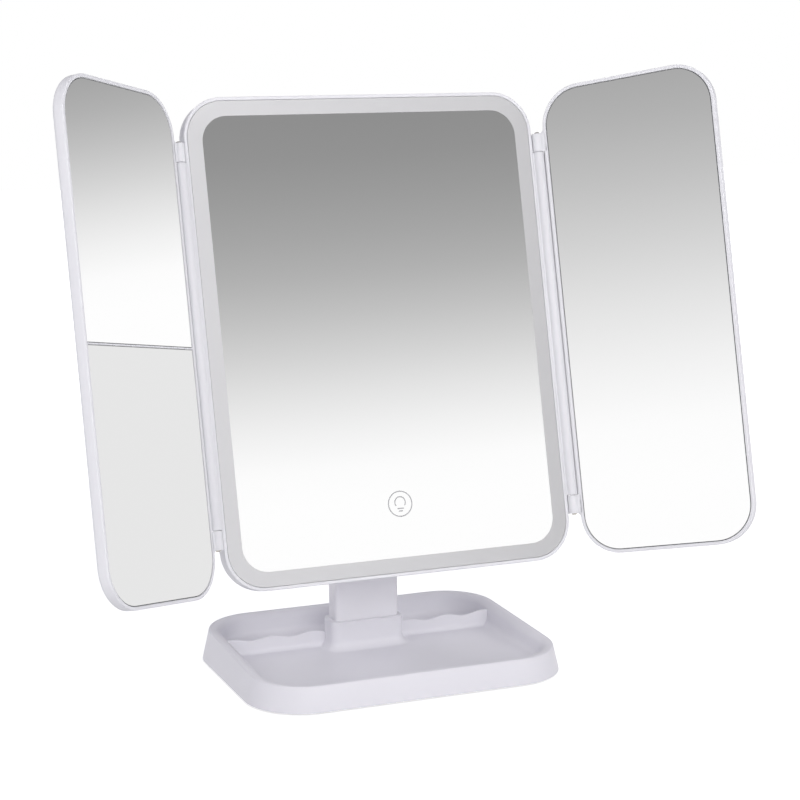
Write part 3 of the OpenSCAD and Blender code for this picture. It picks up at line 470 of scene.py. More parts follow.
# solder mask over copper: smooth, slightly glossy
whiteBoard = fineFinish("whiteSolderMask", "#F1F1EE", "#E9E9E6", 2.0, roughness=0.35)
greenBoard = fineFinish("greenSolderMask", "#24683F", "#1D5934", 2.0, roughness=0.35)
# silicone with phosphor: butter yellow, waxy
ledResin = fineFinish("phosphorResin", "#F4E9B8", "#EBDC9E", 0.5, roughness=0.3)
# thin gold over nickel on copper
goldPad = fineFinish("goldFlashedCopper", "#D6A85A", "#C99A4E", 1.0, metallic=1.0, roughness=0.3)
# closed-cell foam: matt white with fine cells
foamTape = fineFinish("acrylicFoamTape", "#E9E9E6", "#DDDDDA", 0.3, roughness=0.9)
# grey varnish over the silvering
backingSheet = fineFinish("greyPaintedBacking", "#B4B4B8", "#A9A9AD", 1.0, roughness=0.6)
# black glass-filled nylon of the inlet's tongue
inletBlack = fineFinish("blackGlassFilledNylon", "#2A2A2C", "#232325", 0.3, roughness=0.55)
print("materials made:", len(bpy.data.materials))

# tray base
tray = {
    "width": 182, "depth": 140, "corner": 33, "lift": 1.2, "lowerEdge": 0.5, "taper": 4, "rimFront": 14.9,
    "rimBack": 19.4, "crest": 0.9, "crestInset": 4, "land": 1.6, "rollWidth": 4.7, "rollDepth": 4,
    "draft": 0.4, "filletWidth": 5, "filletRise": 4.1, "floor": 6, "floorInset": 18, "seatInset": 3,
    "coverThickness": 1.5,
}


def trayRimZ(y):
    return (tray["rimFront"] + tray["rimBack"]) / 2 + y * (tray["rimBack"] - tray["rimFront"]) / tray["depth"]


def outerInset(z):
    return tray["taper"] * (z - tray["lift"]) / (tray["rimBack"] - tray["lift"])


# angles in even steps, and then the right angle
def quarterTurn(step, count):
    return [step * i for i in range(count)] + [pi / 2]


# the rim's section at one point of the outline, as (inset, height) pairs: up over the crest, down a
# broad soft roll, then the wall and the hollow into the floor
def rimSection(z):
    outer, r, floor = outerInset(z), tray["crest"], tray["floor"]
    roll = outer + r + tray["land"]
    wall = roll + tray["rollWidth"] + tray["draft"]
    section = [(outer + r - r * cos(t), z - r + r * sin(t)) for t in quarterTurn(0.4, 4)]
    section += [(roll + tray["rollWidth"] * sin(t), z - tray["rollDepth"] * (1 - cos(t)))
                for t in quarterTurn(0.2, 8)]
    section += [(wall + tray["filletWidth"] * (1 - cos(t)), floor + tray["filletRise"] * (1 - sin(t)))
                for t in quarterTurn(0.26, 6)]
    return section


def trayBody():
    pairs = outline(tray["width"], tray["depth"], tray["corner"], 20, 10)
    lift, seat, edge = tray["lift"], tray["seatInset"], tray["lowerEdge"]
    section = [(seat, lift + tray["coverThickness"]), (seat, lift + 0.3 * edge), (seat - 0.3 * edge, lift),
               (edge, lift), (0.24 * edge, lift + 0.24 * edge), (outerInset(lift + edge), lift + edge)]
    rings = [ring(pairs, inset, z) for inset, z in section]
    columns = []
    for point, normal in pairs:
        spots = rimSection(trayRimZ(point.y - normal.y * tray["crestInset"]))
        columns.append([(*(point - normal * inset), z) for inset, z in spots])
    rings += [list(spots) for spots in zip(*columns)]
    rings.append(ring(pairs, tray["floorInset"], tray["floor"]))
    return loft(rings)


boss = {"width": 43.6, "depth": 18.6, "corner": 5, "y": 23.5, "top": 22.4, "flare": 4.6, "flareRise": 5.5,
        "sunk": 0.6, "edge": 0.8, "socketWidth": 30.6, "socketDepth": 8.6, "socketCorner": 2,
        "socketEdge": 0.4, "socketFloor": 7.4}


def socketBoss():
    pairs = outline(boss["width"], boss["depth"], boss["corner"], 10, 6)
    floor, flare, rise, edge = tray["floor"], boss["flare"], boss["flareRise"], boss["edge"]
    section = [(-flare, floor - boss["sunk"]), (-flare, floor)]
    section += [(-x, z) for x, z in arcSteps((flare, floor + rise), flare, 270, 180, 9, rise)[1:]]
    section += arcSteps((edge, boss["top"] - edge), edge, 180, 90, 5)
    rings = [ring(pairs, x, z, (0, boss["y"])) for x, z in section]
    socket = outline(boss["socketWidth"], boss["socketDepth"], boss["socketCorner"], 10, 6)
    mouth = boss["socketEdge"]
    rings += [ring(socket, x, z, (0, boss["y"])) for x, z in
              ((-mouth, boss["top"]), (0, boss["top"] - mouth), (0, boss["socketFloor"]))]
    return loft(rings)


# the divider's section is carried along x, then lifted to a waved crest and widened towards the walls
def makeDividerTree():
    tree, given = newTree("wavedDivider", Int=["Steps"], Object=["Profile"], Float=[
        "Reach", "Floor", "Crest", "Wave Height", "Wave Length", "First Dip", "Last Wave", "End Radius",
        "Half Thickness"])

    position = addNode(tree, "GeometryNodeInputPosition")
    values = dict(given.items())
    values["x"], values["y"], values["z"] = addNode(tree, "ShaderNodeSeparateXYZ", {0: position}).outputs
    # each value is worked out from those before it: the crest's wave, then the ends' quarter circles in plan
    for name, operation, *terms in (
            ("start", "MULTIPLY", "Reach", -1), ("away", "ABSOLUTE", "x"),
            ("fromDip", "SUBTRACT", "away", "First Dip"), ("waves", "DIVIDE", "fromDip", "Wave Length"),
            ("phase", "MINIMUM", "waves", "Last Wave"), ("angle", "MULTIPLY", "phase", 2 * pi),
            ("wave", "COSINE", "angle"), ("dip", "MULTIPLY", "wave", "Wave Height"),
            ("crest", "SUBTRACT", "Crest", "dip"), ("tall", "SUBTRACT", "crest", "Floor"),
            ("plain", "SUBTRACT", "Crest", "Floor"), ("stretch", "DIVIDE", "tall", "plain"),
            ("above", "SUBTRACT", "z", "Floor"), ("lifted", "MULTIPLY_ADD", "above", "stretch", "Floor"),
            ("toWall", "SUBTRACT", "Reach", "away"), ("near", "SUBTRACT", "End Radius", "toWall"),
            ("into", "MAXIMUM", "near", 0), ("intoSquare", "MULTIPLY", "into", "into"),
            ("square", "MULTIPLY", "End Radius", "End Radius"),
            ("rest", "SUBTRACT", "square", "intoSquare"), ("inside", "MAXIMUM", "rest", 0),
            ("drop", "SQRT", "inside"), ("widen", "SUBTRACT", "End Radius", "drop"),
            ("ratio", "DIVIDE", "y", "Half Thickness"), ("most", "MINIMUM", "ratio", 1),
            ("side", "MAXIMUM", "most", -1), ("across", "MULTIPLY_ADD", "side", "widen", "y")):
        values[name] = addNode(tree, "ShaderNodeMath", {i: values.get(term, term)
                                                        for i, term in enumerate(terms)}, operation=operation)
    left = addNode(tree, "ShaderNodeCombineXYZ", {"X": values["start"]})
    right = addNode(tree, "ShaderNodeCombineXYZ", {"X": given["Reach"]})
    line = addNode(tree, "GeometryNodeCurvePrimitiveLine", {"Start": left, "End": right})
    fine = addNode(tree, "GeometryNodeResampleCurve", {"Curve": line, "Count": given["Steps"]})
    spot = addNode(tree, "ShaderNodeCombineXYZ", {"X": values["x"], "Y": values["across"],
                                                  "Z": values["lifted"]})
    shaped = addNode(tree, "GeometryNodeSetPosition",
                     {"Geometry": sweep(tree, fine, given["Profile"]), "Position": spot})
    endTree(tree, shaped, given["Material"])
    return tree


divider = {"y": 29, "halfThickness": 1.1, "crest": 14.4, "waveHeight": 0.9, "waveLength": 23.6,
           "firstDip": 41.5, "lastWave": 1.5, "endRadius": 2.5, "foot": 2.6, "sunk": 0.5, "reach": 85.2,
           "edge": 0.9, "steps": 241}


def dividerMesh():
    half, foot, floor, edge = divider["halfThickness"], divider["foot"], tray["floor"], divider["edge"]
    side = [(half + foot, floor - divider["sunk"])]
    side += arcSteps((half + foot, floor + foot), foot, 270, 180, 5)
    side += arcSteps((half - edge, divider["crest"] - edge), edge, 0, 90, 5)
    mesh = runSection(makeDividerTree(), side + [(-x, z) for x, z in side[::-1]], floor=floor,
                      material=trayAbs, **divider)
    return shifted(mesh, 0, divider["y"])


addPiece("trayMoulding", joined([trayBody(), socketBoss(), dividerMesh()]), basePlace, "base", trayAbs,
         ["base_tray"])
print("tray base made")

screw = {"headWidth": 4.4, "shankWidth": 2.2, "crossReach": 1.364, "crossHalf": 0.26}


# pan-head screws with a cross recess, the crosses turned by chance; head from z = 0 up, shank down
def addScrews(kind, place, body, points, turnBy, seed, length, headHeight=1.4):
    r, h, s = screw["headWidth"] / 2, headHeight, screw["shankWidth"] / 2
    solid = turn([(0, -length), (s - 0.3, -length), (s, -length + 0.4), (s, 0), (r, 0), (r, 0.45 * h),
                  (0.9 * r, 0.78 * h), (0.68 * r, 0.95 * h), (0.4 * r, h), (0, h)], 20)
    long, thin = screw["crossReach"], screw["crossHalf"]
    slots = [extrude([(-a, -b), (a, -b), (a, b), (-a, b)], 0.35 * h, 2 * h)
             for a, b in ((long, thin), (thin, long))]
    copies = placedCopies(carved(solid, slots), points, turnBy, zincSteel, pi, seed)
    addPiece(kind + "Screws", copies, place, body, zincSteel, [kind + "_screws"])


# underside: a glued-in cover held by four screws, and four feet with a shallow dimple each
foot = {"width": 14, "height": 1.8, "edge": 0.5, "x": 62, "y": 44, "dimple": 9.2, "dimpleDeep": 0.15}
baseScrew = {"x": 45, "y": 63.8, "z": 1.95, "length": 6, "headHeight": 0.7}
corners = [(x, y) for x in (-1, 1) for y in (-1, 1)]
addPiece("undersideCover", softened("bottom_cover", 0.25), None, "base", coverAbs, ["bottom_cover"], angle=30)
out, dimple = foot["width"] / 2, foot["dimple"] / 2
footMesh = turn([(0, foot["dimpleDeep"]), (dimple - 0.2, foot["dimpleDeep"]), (dimple, 0)]
                + arcSteps((out - foot["edge"], foot["edge"]), foot["edge"], 270, 360, 4)
                + [(out, foot["height"]), (0, foot["height"])], 40)
feet = placedCopies(footMesh, [(x * foot["x"], y * foot["y"], 0) for x, y in corners], (0, 0, 0), footRubber)
addPiece("rubberFeet", feet, basePlace, "base", footRubber, ["rubber_feet"])
addScrews("base", basePlace, "base", [(x * baseScrew["x"], y * baseScrew["y"], baseScrew["z"])
                                      for x, y in corners],
          turnedOver, 3, baseScrew["length"], baseScrew["headHeight"])
print("underside made")

# neck and tilt hinge
neck = {"easing": 0.22, "screwY": 26.5, "screwZ": (44.4, 96.35, 154.3), "screwLength": 7.5}
for name, node in (("neckFrontShell", "neck_front_shell"), ("neckRearShell", "neck_rear_shell")):
    addPiece(name, softened(node, neck["easing"]), None, "neck", neckAbs, [node])
addScrews("neck", basePlace, "neck", [(0, neck["screwY"], z) for z in neck["screwZ"]], (-pi / 2, 0, 0), 5,
          neck["screwLength"])
bracket = {"easing": 0.4, "screwU": 24, "screwV": 5.5, "seat": -27, "screwLength": 5, "screwHole": 2.2}
bracketScrews = [(x * bracket["screwU"], pose["panelMid"] + y * bracket["screwV"]) for x, y in corners]
addPiece("tiltBracket", softened("tilt_bracket", bracket["easing"]), None, "head", whiteAbs, ["tilt_bracket"])
addScrews("bracket", headPlace, "head", [(u, v, bracket["seat"]) for u, v in bracketScrews], turnedOver, 7,
          bracket["screwLength"])

axle = {"width": 6, "from": -18.4, "edge": 0.5, "to": 18.7, "headWidth": 10, "headFrom": 16.4,
        "headEdge": 0.4, "key": 4.6, "keyDeep": 1.5, "nutEasing": 0.35}


# the axle: a plain pin with a round head that takes a hexagon key
def tiltAxle():
    r, head, start, edge, top = (axle["width"] / 2, axle["headWidth"] / 2, axle["from"], axle["edge"],
                                 axle["to"])
    body = turn([(0, start), (r - edge, start), (r, start + edge), (r, axle["headFrom"]),
                 (head, axle["headFrom"]), (head, top - axle["headEdge"]), (head - axle["headEdge"], top),
                 (0, top)], 40)
    key = peg(axle["key"] / cos(pi / 6), top - axle["keyDeep"], top + 1, 6)
    return placed(carved(body, [key]), Matrix.Rotation(pi / 2, 4, "Y"))


axlePlace = basePlace @ Matrix.Translation((0, pose["axisY"], pose["axisZ"]))
addPiece("tiltAxle", tiltAxle(), axlePlace, "head", zincSteel, ["tilt_axle"])
addPiece("tiltNut", softened("tilt_nut", axle["nutEasing"]), None, "head", zincSteel, ["tilt_nut"])
print("neck and tilt hinge made")

# centre panel
panel = {
    "width": 200, "height": 260.5, "corner": 22, "rim": 1.8, "bezelDepth": 4, "frontEdge": 0.6,
    "innerEdge": 0.25, "glassInset": 2, "glassTop": -0.3, "glassThickness": 2, "band": 8, "silverCorner": 14,
    "ledge": 1.2,
}
hinge = {"barrel": 5.6, "webIn": 4.2, "from": 34.4, "to": 226.1, "knuckles": ((24, 34), (226.5, 236.5)),
         "edge": 0.22, "fillet": 2.4, "slot": 0.5, "saddle": 0.7, "saddleEdge": 0.1, "saddleArc": (188, 252),
         "wingSaddleArc": (-82, -6), "spigot": 3.4, "overlap": 1, "clearance": 0.08}
onHinge = Matrix.Rotation(radians(-90), 4, "X")  # brings z up along the hinge's axis


def bezelRim():
    rim, depth, edge, inner = panel["rim"], panel["bezelDepth"], panel["frontEdge"], panel["innerEdge"]
    glassBack = panel["glassTop"] - panel["glassThickness"]
    ledge = panel["glassInset"] + panel["ledge"]
    points = [(0, -depth)] + arcSteps((-edge, -edge), edge, 0, 90, 5)
    points += arcSteps((-rim + inner, -inner), inner, 90, 180, 3)
    points += [(-rim, glassBack), (-ledge, glassBack), (-ledge, -depth)]
    mesh = runSection(makeFrameTree(), points, width=panel["width"], height=panel["height"],
                      cornerRadius=panel["corner"], cornerSteps=20, material=whiteAbs)
    return shifted(mesh, 0, pose["panelMid"])


# a flat profile run along the hinge from height v0 to v1, with its edges eased
def hingeBar(points, v0, v1, edge):
    mesh = eased(turnedOut(extrude(points, v0, v1)), edge, 50)
    return placed(mesh, onHinge @ Matrix.Diagonal((1, -1, 1, 1)))


# a hinge barrel and the web that carries it; side 1 reaches towards -x, -1 towards +x
def barrelMesh(reach, webTop, side, v0, v1):
    r = hinge["barrel"] / 2
    points = [(-reach, webTop), *arcSteps((0, 0), r, 180 - degrees(asin(webTop / r)), -90, 26), (-reach, -r)]
    return hingeBar([(side * x, y) for x, y in points], v0, v1, hinge["edge"])


# a thin shell that hugs the neighbour's barrel from behind, so that no light comes through the slot
def saddleMesh(arc, v0, v1):
    r = hinge["barrel"] / 2 + hinge["slot"]
    points = arcSteps((0, 0), r, *arc, 12) + arcSteps((0, 0), r + hinge["saddle"], *arc[::-1], 12)
    return hingeBar(points, v0, v1, hinge["saddleEdge"])


# between the two barrels and the knuckles above and below them, a spigot on the pin's axis closes the slot
def longBarrels():
    (foot, low), (high, top) = hinge["knuckles"]
    start, end = hinge["from"] + hinge["overlap"], hinge["to"] - hinge["overlap"]
    parts = [barrelMesh(hinge["webIn"], -pose["hingeRise"], 1, hinge["from"], hinge["to"]),
             saddleMesh(hinge["saddleArc"], foot, start), saddleMesh(hinge["saddleArc"], end, top)]
    parts += [placed(turnedOut(peg(hinge["spigot"], v0, v1, 32)), onHinge)
              for v0, v1 in ((low + hinge["clearance"], start), (end, high - hinge["clearance"]))]
    place = Matrix.Translation((pose["hingeU"], 0, pose["hingeRise"]))
    return [placed(joined(parts), Matrix.Diagonal((side, 1, 1, 1)) @ place) for side in (-1, 1)]


addPiece("centreBezel", joined([turnedOut(bezelRim())] + longBarrels()), headPlace, "head", whiteAbs,
         ["centre_bezel"])


# a pane with finely ground edges; its face, or the part within an inner outline, has the second material
def pane(points, top, thickness, inner=(), ground=0.15):
    small = drawnIn(points, ground)
    levels = [(small, top - thickness), (points, top - thickness + ground), (points, top - ground),
              (small, top)]
    mesh = loft([[(p.x, p.y, z) for p in spots] for spots, z in levels + ([(inner, top)] if inner else [])])
    mesh.polygons[1].material_index = 1
    return mesh


def centrePane():
    inset = panel["glassInset"]
    outer, inner = [[p for p, n in outline(panel["width"] - 2 * x, panel["height"] - 2 * x, corner, 20, 4)]
                    for x, corner in ((inset, panel["corner"] - inset),
                                      (inset + panel["band"], panel["silverCorner"]))]
    mesh = pane(outer, panel["glassTop"], panel["glassThickness"], inner)
    return shifted(mesh, 0, pose["panelMid"])


addPiece("centreGlass", centrePane(), headPlace, "head", [etchedGlassPaintedLight, centreSilver], ["centre_glass"],
         angle=20)

# touch mark: a ring round a plain bulb sign
mark = {"u": 0.45, "v": 38.8, "radius": 6.75, "line": 0.62, "lift": 0.02, "bulbRadius": 3, "bulbRise": 0.8,
        "gap": 37, "bases": ((1.9, -2.5), (1.2, -3.9))}


# a flat stroke along points
def stroke(points, width, closed=False):
    left, right = [], []
    count = len(points)
    for i, (x, y) in enumerate(points):
        a = points[(i - 1) % count] if closed or i else points[i]
        b = points[(i + 1) % count] if closed or i < count - 1 else points[i]
        d = Vector((b[0] - a[0], b[1] - a[1])).normalized() * width / 2
        left.append((x - d.y, y + d.x, 0))
        right.append((x + d.y, y - d.x, 0))
    return newMesh("stroke", left + right, [(i, (i + 1) % count, count + (i + 1) % count, count + i)
                                            for i in range(count if closed else count - 1)])


def touchMark():
    meshes = [stroke(arcSteps((0, 0), mark["radius"], 0, 355, 71), mark["line"], True),
              stroke(arcSteps((0, mark["bulbRise"]), mark["bulbRadius"], -mark["gap"], 180 + mark["gap"], 40),
                     mark["line"])]
    meshes += [stroke([(-half, y), (half, y)], mark["line"]) for half, y in mark["bases"]]
    mesh = joined(meshes)
    for polygon in mesh.polygons:
        if polygon.normal.z < 0:
            polygon.flip()
    return shifted(mesh, mark["u"], mark["v"], panel["glassTop"] + mark["lift"])


addPiece("touchMark", placed(touchMark(), headPlace), None, "head", markGrey)

# rear shell: a soft-edged slab with a housing for the cells and the driver board, and their door
rear = {
    "depth": 12, "wall": 2, "edge": 3.5, "width": 112, "height": 96, "corner": 12, "foot": 116.25,
    "back": -24, "backEdge": 3, "cove": 1.6, "bayWidth": 46, "bayHeight": 52, "bayMid": 172.25,
    "bayFloor": -10.9, "bayCorner": 0.3, "doorWidth": 54, "doorHeight": 60, "doorCorner": 4,
    "doorThickness": 1.6, "doorGap": 0.3, "screwU": 80, "screwV": (20, 130.25, 240.5), "screwLength": 5.6,
    "postWidth": 6, "postLength": 3, "postFront": -8, "pegWidth": 4, "pegLength": 6.9, "pegFront": -16.1,
    "pegU": (30, 50), "pegV": (133.75, 182.75), "headHole": 4.8, "shankHole": 2.6, "headHeight": 1.4,
}
inlet = {"v": 140.25, "n": -17.5, "width": 8, "height": 2.8, "corner": 1, "depth": 6, "sheet": 0.3,
         "backThickness": 1, "gap": 0.6, "holeCorner": 1.2, "holeFrom": 50, "holeTo": 60, "mouth": 55.4,
         "tongueWidth": 5.6, "tongueHeight": 0.6, "tongueBelow": 1.2}
lookingRight = Matrix(((0, 0, 1, 0), (1, 0, 0, 0), (0, 1, 0, 0), (0, 0, 0, 1)))
housingMid = (0, rear["foot"] + rear["height"] / 2)
shellScrews = [(u * rear["screwU"], v) for u in (-1, 1) for v in rear["screwV"]]


# the housing block: eased round its back and swept out in a cove where it meets the panel
def housingBlock():
    pairs = outline(rear["width"], rear["height"], rear["corner"], 16, 6)
    edge, back, cove, face = rear["backEdge"], rear["back"], rear["cove"], -rear["depth"]
    section = arcSteps((edge, back + edge), edge, 270, 180, 6)
    section += [(-x, z) for x, z in arcSteps((cove, face - cove), cove, 180, 90, 5)] + [(-cove, face + 1)]
    return loft([ring(pairs, x, z, housingMid) for x, z in section])


# a round-cornered block so much wider all round than a size
def roomFor(width, height, corner, z0, z1, middle, past):
    return plate(width + 2 * past, height + 2 * past, corner, z0, z1, middle)


def rearShell():
    wall, face, back, middle = rear["wall"], -rear["depth"], rear["back"], (0, pose["panelMid"])
    slab = loft([ring(outline(panel["width"], panel["height"], panel["corner"], 20, 6), x, z, middle)
                 for x, z in arcSteps((rear["edge"], face + rear["edge"]), rear["edge"], 270, 180, 7)
                 + [(0, -panel["bezelDepth"])]])
    inside = roomFor(panel["width"], panel["height"], panel["corner"] - wall, face + wall, 0, middle, -wall)
    room = roomFor(rear["width"], rear["height"], rear["corner"] - wall, back + wall, face + 2 * wall,
                   housingMid, -wall)
    bay, bayTop, doorTop = (0, rear["bayMid"]), rear["bayFloor"], back + rear["doorThickness"]
    bayAndDoor = ((rear["bayWidth"], rear["bayHeight"], back - 1, bayTop),
                  (rear["doorWidth"], rear["doorHeight"], back - 2, doorTop))
    around = [roomFor(width, height, 0.5, z0, z1 + wall, bay, wall) for width, height, z0, z1 in bayAndDoor]
    shell = carved(carved(slab, [inside]), [housingBlock()], "UNION")
    shell = carved(shell, [carved(room, around)])
    posts = [shifted(peg(rear["postWidth"], 0, rear["postLength"], 28), u, v,
                     rear["postFront"] - rear["postLength"]) for u, v in shellScrews]
    posts += [shifted(peg(rear["pegWidth"], 0, rear["pegLength"], 24), u, v,
                      rear["pegFront"] - rear["pegLength"]) for u in rear["pegU"] for v in rear["pegV"]]
    shell = carved(shell, [joined(posts)], "UNION")
    cuts = [roomFor(width, height, corner, z0, z1, bay, past) for (width, height, z0, z1), corner, past in
            zip(bayAndDoor, (rear["bayCorner"], rear["doorCorner"] + rear["doorGap"]), (0, rear["doorGap"]))]
    slot = plate(inlet["width"] + inlet["gap"], inlet["height"] + inlet["gap"], inlet["holeCorner"],
                 inlet["holeFrom"], inlet["holeTo"])
    cuts.append(placed(slot, Matrix.Translation((0, inlet["v"], inlet["n"])) @ lookingRight))
    head, shank, deep = rear["headHole"] / 2, rear["shankHole"] / 2, rear["headHeight"]
    section = [(0, -3), (head + 0.3, -3), (head + 0.3, 0), (head, 0.3), (head, deep), (shank, deep),
               (shank, 8), (0, 8)]
    holes = [shifted(turn(section, 28), u, v, face) for u, v in shellScrews]
    holes += [shifted(peg(bracket["screwHole"], -1, wall, 20), u, v, back) for u, v in bracketScrews]
    return carved(shell, cuts + [joined(holes)])


addPiece("rearShell", rearShell(), headPlace, "head", whiteAbs, ["rear_shell"], angle=30)
addScrews("shell", headPlace, "head", [(u, v, rear["headHeight"] - rear["depth"]) for u, v in shellScrews],
          turnedOver, 11, rear["screwLength"])


# power inlet: a drawn steel sleeve with its tongue, looking out of the housing's right side
def powerInlet():
    width, height, corner, sheet = inlet["width"], inlet["height"], inlet["corner"], inlet["sheet"]
    outer = outline(width, height, corner, 8, 4)
    inner = outline(width - 2 * sheet, height - 2 * sheet, corner - sheet, 8, 4)
    floor = inlet["backThickness"] - inlet["depth"]
    sleeve = loft([ring(outer, 0, -inlet["depth"]), ring(outer, 0, -0.1), ring(outer, 0.1, 0),
                   ring(inner, 0, 0), ring(inner, 0, floor)])
    tongue = plate(inlet["tongueWidth"], inlet["tongueHeight"], 0.25, floor - 0.1, -inlet["tongueBelow"])
    for polygon in tongue.polygons:
        polygon.material_index = 1
    return joined([turnedOut(sleeve), turnedOut(tongue)])


addPiece("powerInlet", powerInlet(), headPlace @ Matrix.Translation((inlet["mouth"], inlet["v"], inlet["n"]))
         @ lookingRight, "head", [nickelSteel, inletBlack], ["usb_inlet"])

door = {"grooveUp": 23, "grooveLength": 16, "grooveRadius": 2, "grooveEdge": 0.5, "grooveDeep": 0.6,
        "ridges": 3, "ridgePitch": 2.4, "ridgeFrom": 18.2, "ridgeWidth": 1.1, "ridgeRise": 0.45, "edge": 0.35,
        # a snap tongue above and two lips below: width, reach, and place from the door's middle
        "clips": ((12, 3, 0, 25.2), (4, 2, -12, -25.2), (4, 2, 12, -25.2)), "clipThickness": 0.8}


# battery door: a thumb groove with three ridges under it, and its clips inside
def batteryDoor():
    back, t, middle = rear["back"], rear["doorThickness"], rear["bayMid"]
    lid = plate(rear["doorWidth"], rear["doorHeight"], rear["doorCorner"], back, back + t, (0, middle),
                door["edge"], 0.1, 4)
    r, half, edge = door["grooveRadius"], door["grooveLength"] / 2, door["grooveEdge"]
    groove = turn([(0, -half), (r - edge, -half), (r, edge - half), (r, half - edge), (r - edge, half),
                   (0, half)], 40)
    sunk = placed(groove, Matrix.Translation((0, middle + door["grooveUp"], back - r + door["grooveDeep"]))
                  @ Matrix.Rotation(pi / 2, 4, "Y"))
    clips = [plate(width, door["clipThickness"], 0.2, back + t - 0.2, back + t + reach, (u, middle + v), 0,
                   0.2, 2) for width, reach, u, v in door["clips"]]
    ridges = [plate(door["grooveLength"], door["ridgeWidth"], 0.5, back - door["ridgeRise"], back + 0.3,
                    (0, middle + door["ridgeFrom"] - i * door["ridgePitch"]), 0.4, 0, 4)
              for i in range(door["ridges"])]
    return carved(carved(lid, [sunk]), clips + ridges, "UNION")


addPiece("batteryDoor", batteryDoor(), headPlace, "battery_door", whiteAbs, ["battery_door"])

spring = {"turns": 4.0, "footRadius": 3.4, "tipRadius": 2.0, "length": 3.9, "wireRadius": 0.3, "pitch": 11.5,
          "coilSteps": 20, "wireSides": 10, "top": 197.85, "foot": 146.65, "n": -16.55, "stripEasing": 0.12}
coilTree, coils = makeCoilTree(), []
for toward, v, cells in ((1, spring["top"], (0, 2)), (-1, spring["foot"], (1, 3))):
    spots = [((i - 1.5) * spring["pitch"], v - toward * spring["wireRadius"], spring["n"]) for i in cells]
    coil = runTree(coilTree, material=nickelSteel, **spring)
    coils.append(placedCopies(coil, spots, (toward * pi / 2, 0, 0), nickelSteel))
addPiece("batterySprings", joined(coils), headPlace, "head", nickelSteel, ["battery_springs"],
         angle=60)
addPiece("batteryContacts", softened("battery_contacts", spring["stripEasing"]), None, "head", nickelSteel,
         ["battery_contacts"])
print("centre panel made")

# wings
wing = {
    "offset": 3.6, "width": 98.38, "thickness": 7, "corner": 22, "backEdge": 2.5, "rim": 1.8,
    "innerEdge": 0.2, "seat": 3.1, "gap": 0.3, "mirrorTop": -0.5, "mirrorThickness": 1.8, "ground": 0.25,
    "splitFrom": 128.6, "splitTo": 129.5, "splitGap": 0.12, "ribTop": -0.15, "ribEdge": 0.3,
    "frontEdge": 0.5, "armIn": 0.4, "armTop": -0.35, "saddlePast": 0.2,
}
wingCentre = (wing["offset"] + wing["width"] / 2, pose["panelMid"])


# the web that fills the corner between a knuckle's arm and the wing's edge, outside the barrels
def knuckleFillet(v, away):
    r, edge = hinge["fillet"], wing["offset"]
    curve = arcSteps((edge - r, v + away * r), r, -90 * away, 0, 6)
    points = [(edge + wing["armIn"], v - away), (edge - r, v - away)] + curve
    points.append((edge + wing["armIn"], v + away * r))
    return turnedOut(extrude(points, -hinge["barrel"] / 2, wing["armTop"]))


# the rib between the left wing's mirrors
def splitRib():
    half, top, r = (wing["splitTo"] - wing["splitFrom"]) / 2, wing["ribTop"], wing["ribEdge"]
    points = [(-half, -wing["seat"] - 0.5)] + arcSteps((-half + r, top - r), r, 180, 90, 3)
    points += arcSteps((half - r, top - r), r, 90, 0, 3) + [(half, -wing["seat"] - 0.5)]
    rib = turnedOut(extrude(points, wing["offset"] + 1, wing["offset"] + wing["width"] - 1))
    return placed(rib, Matrix.Translation((0, (wing["splitFrom"] + wing["splitTo"]) / 2, 0)) @ lookingRight)


def wingShell(split):
    pairs = outline(wing["width"], panel["height"], wing["corner"], 20, 6)
    edge, front, inner = wing["backEdge"], wing["frontEdge"], wing["innerEdge"]
    section = arcSteps((edge, edge - wing["thickness"]), edge, 270, 180, 6)
    section += arcSteps((front, -front), front, 180, 90, 4)
    section += arcSteps((wing["rim"] - inner, -inner), inner, 90, 0, 2) + [(wing["rim"], -wing["seat"])]
    parts = [turnedOut(loft([ring(pairs, x, z, wingCentre) for x, z in section]))]
    parts += [barrelMesh(wing["offset"] + 1.5, 0, -1, v0, v1) for v0, v1 in hinge["knuckles"]]
    parts += [knuckleFillet(knuckleEnds[0], -1), knuckleFillet(knuckleEnds[1], 1),
              saddleMesh(hinge["wingSaddleArc"], hinge["from"] - wing["saddlePast"],
                         hinge["to"] + wing["saddlePast"])]
    return joined(parts + ([splitRib()] if split else []))


# the mirror between heights v0 and v1: the round-cornered outline cut straight across
def wingMirror(v0, v1):
    inset = wing["rim"] + wing["gap"]
    pairs = outline(wing["width"] - 2 * inset, panel["height"] - 2 * inset, wing["corner"] - inset, 20, 6)
    low, high = v0 - pose["panelMid"], v1 - pose["panelMid"]
    points = [p for p, n in pairs if low < p.y < high]
    if len(points) < len(pairs):
        half, cut = wing["width"] / 2 - inset, low if low > inset - panel["height"] / 2 else high
        points += [Vector((-half, cut)), Vector((half, cut))]
        points.sort(key=lambda p: atan2(p.y - (low + high) / 2, p.x))
    mesh = pane(points, wing["mirrorTop"], wing["mirrorThickness"], (), wing["ground"])
    return shifted(mesh, *wingCentre)


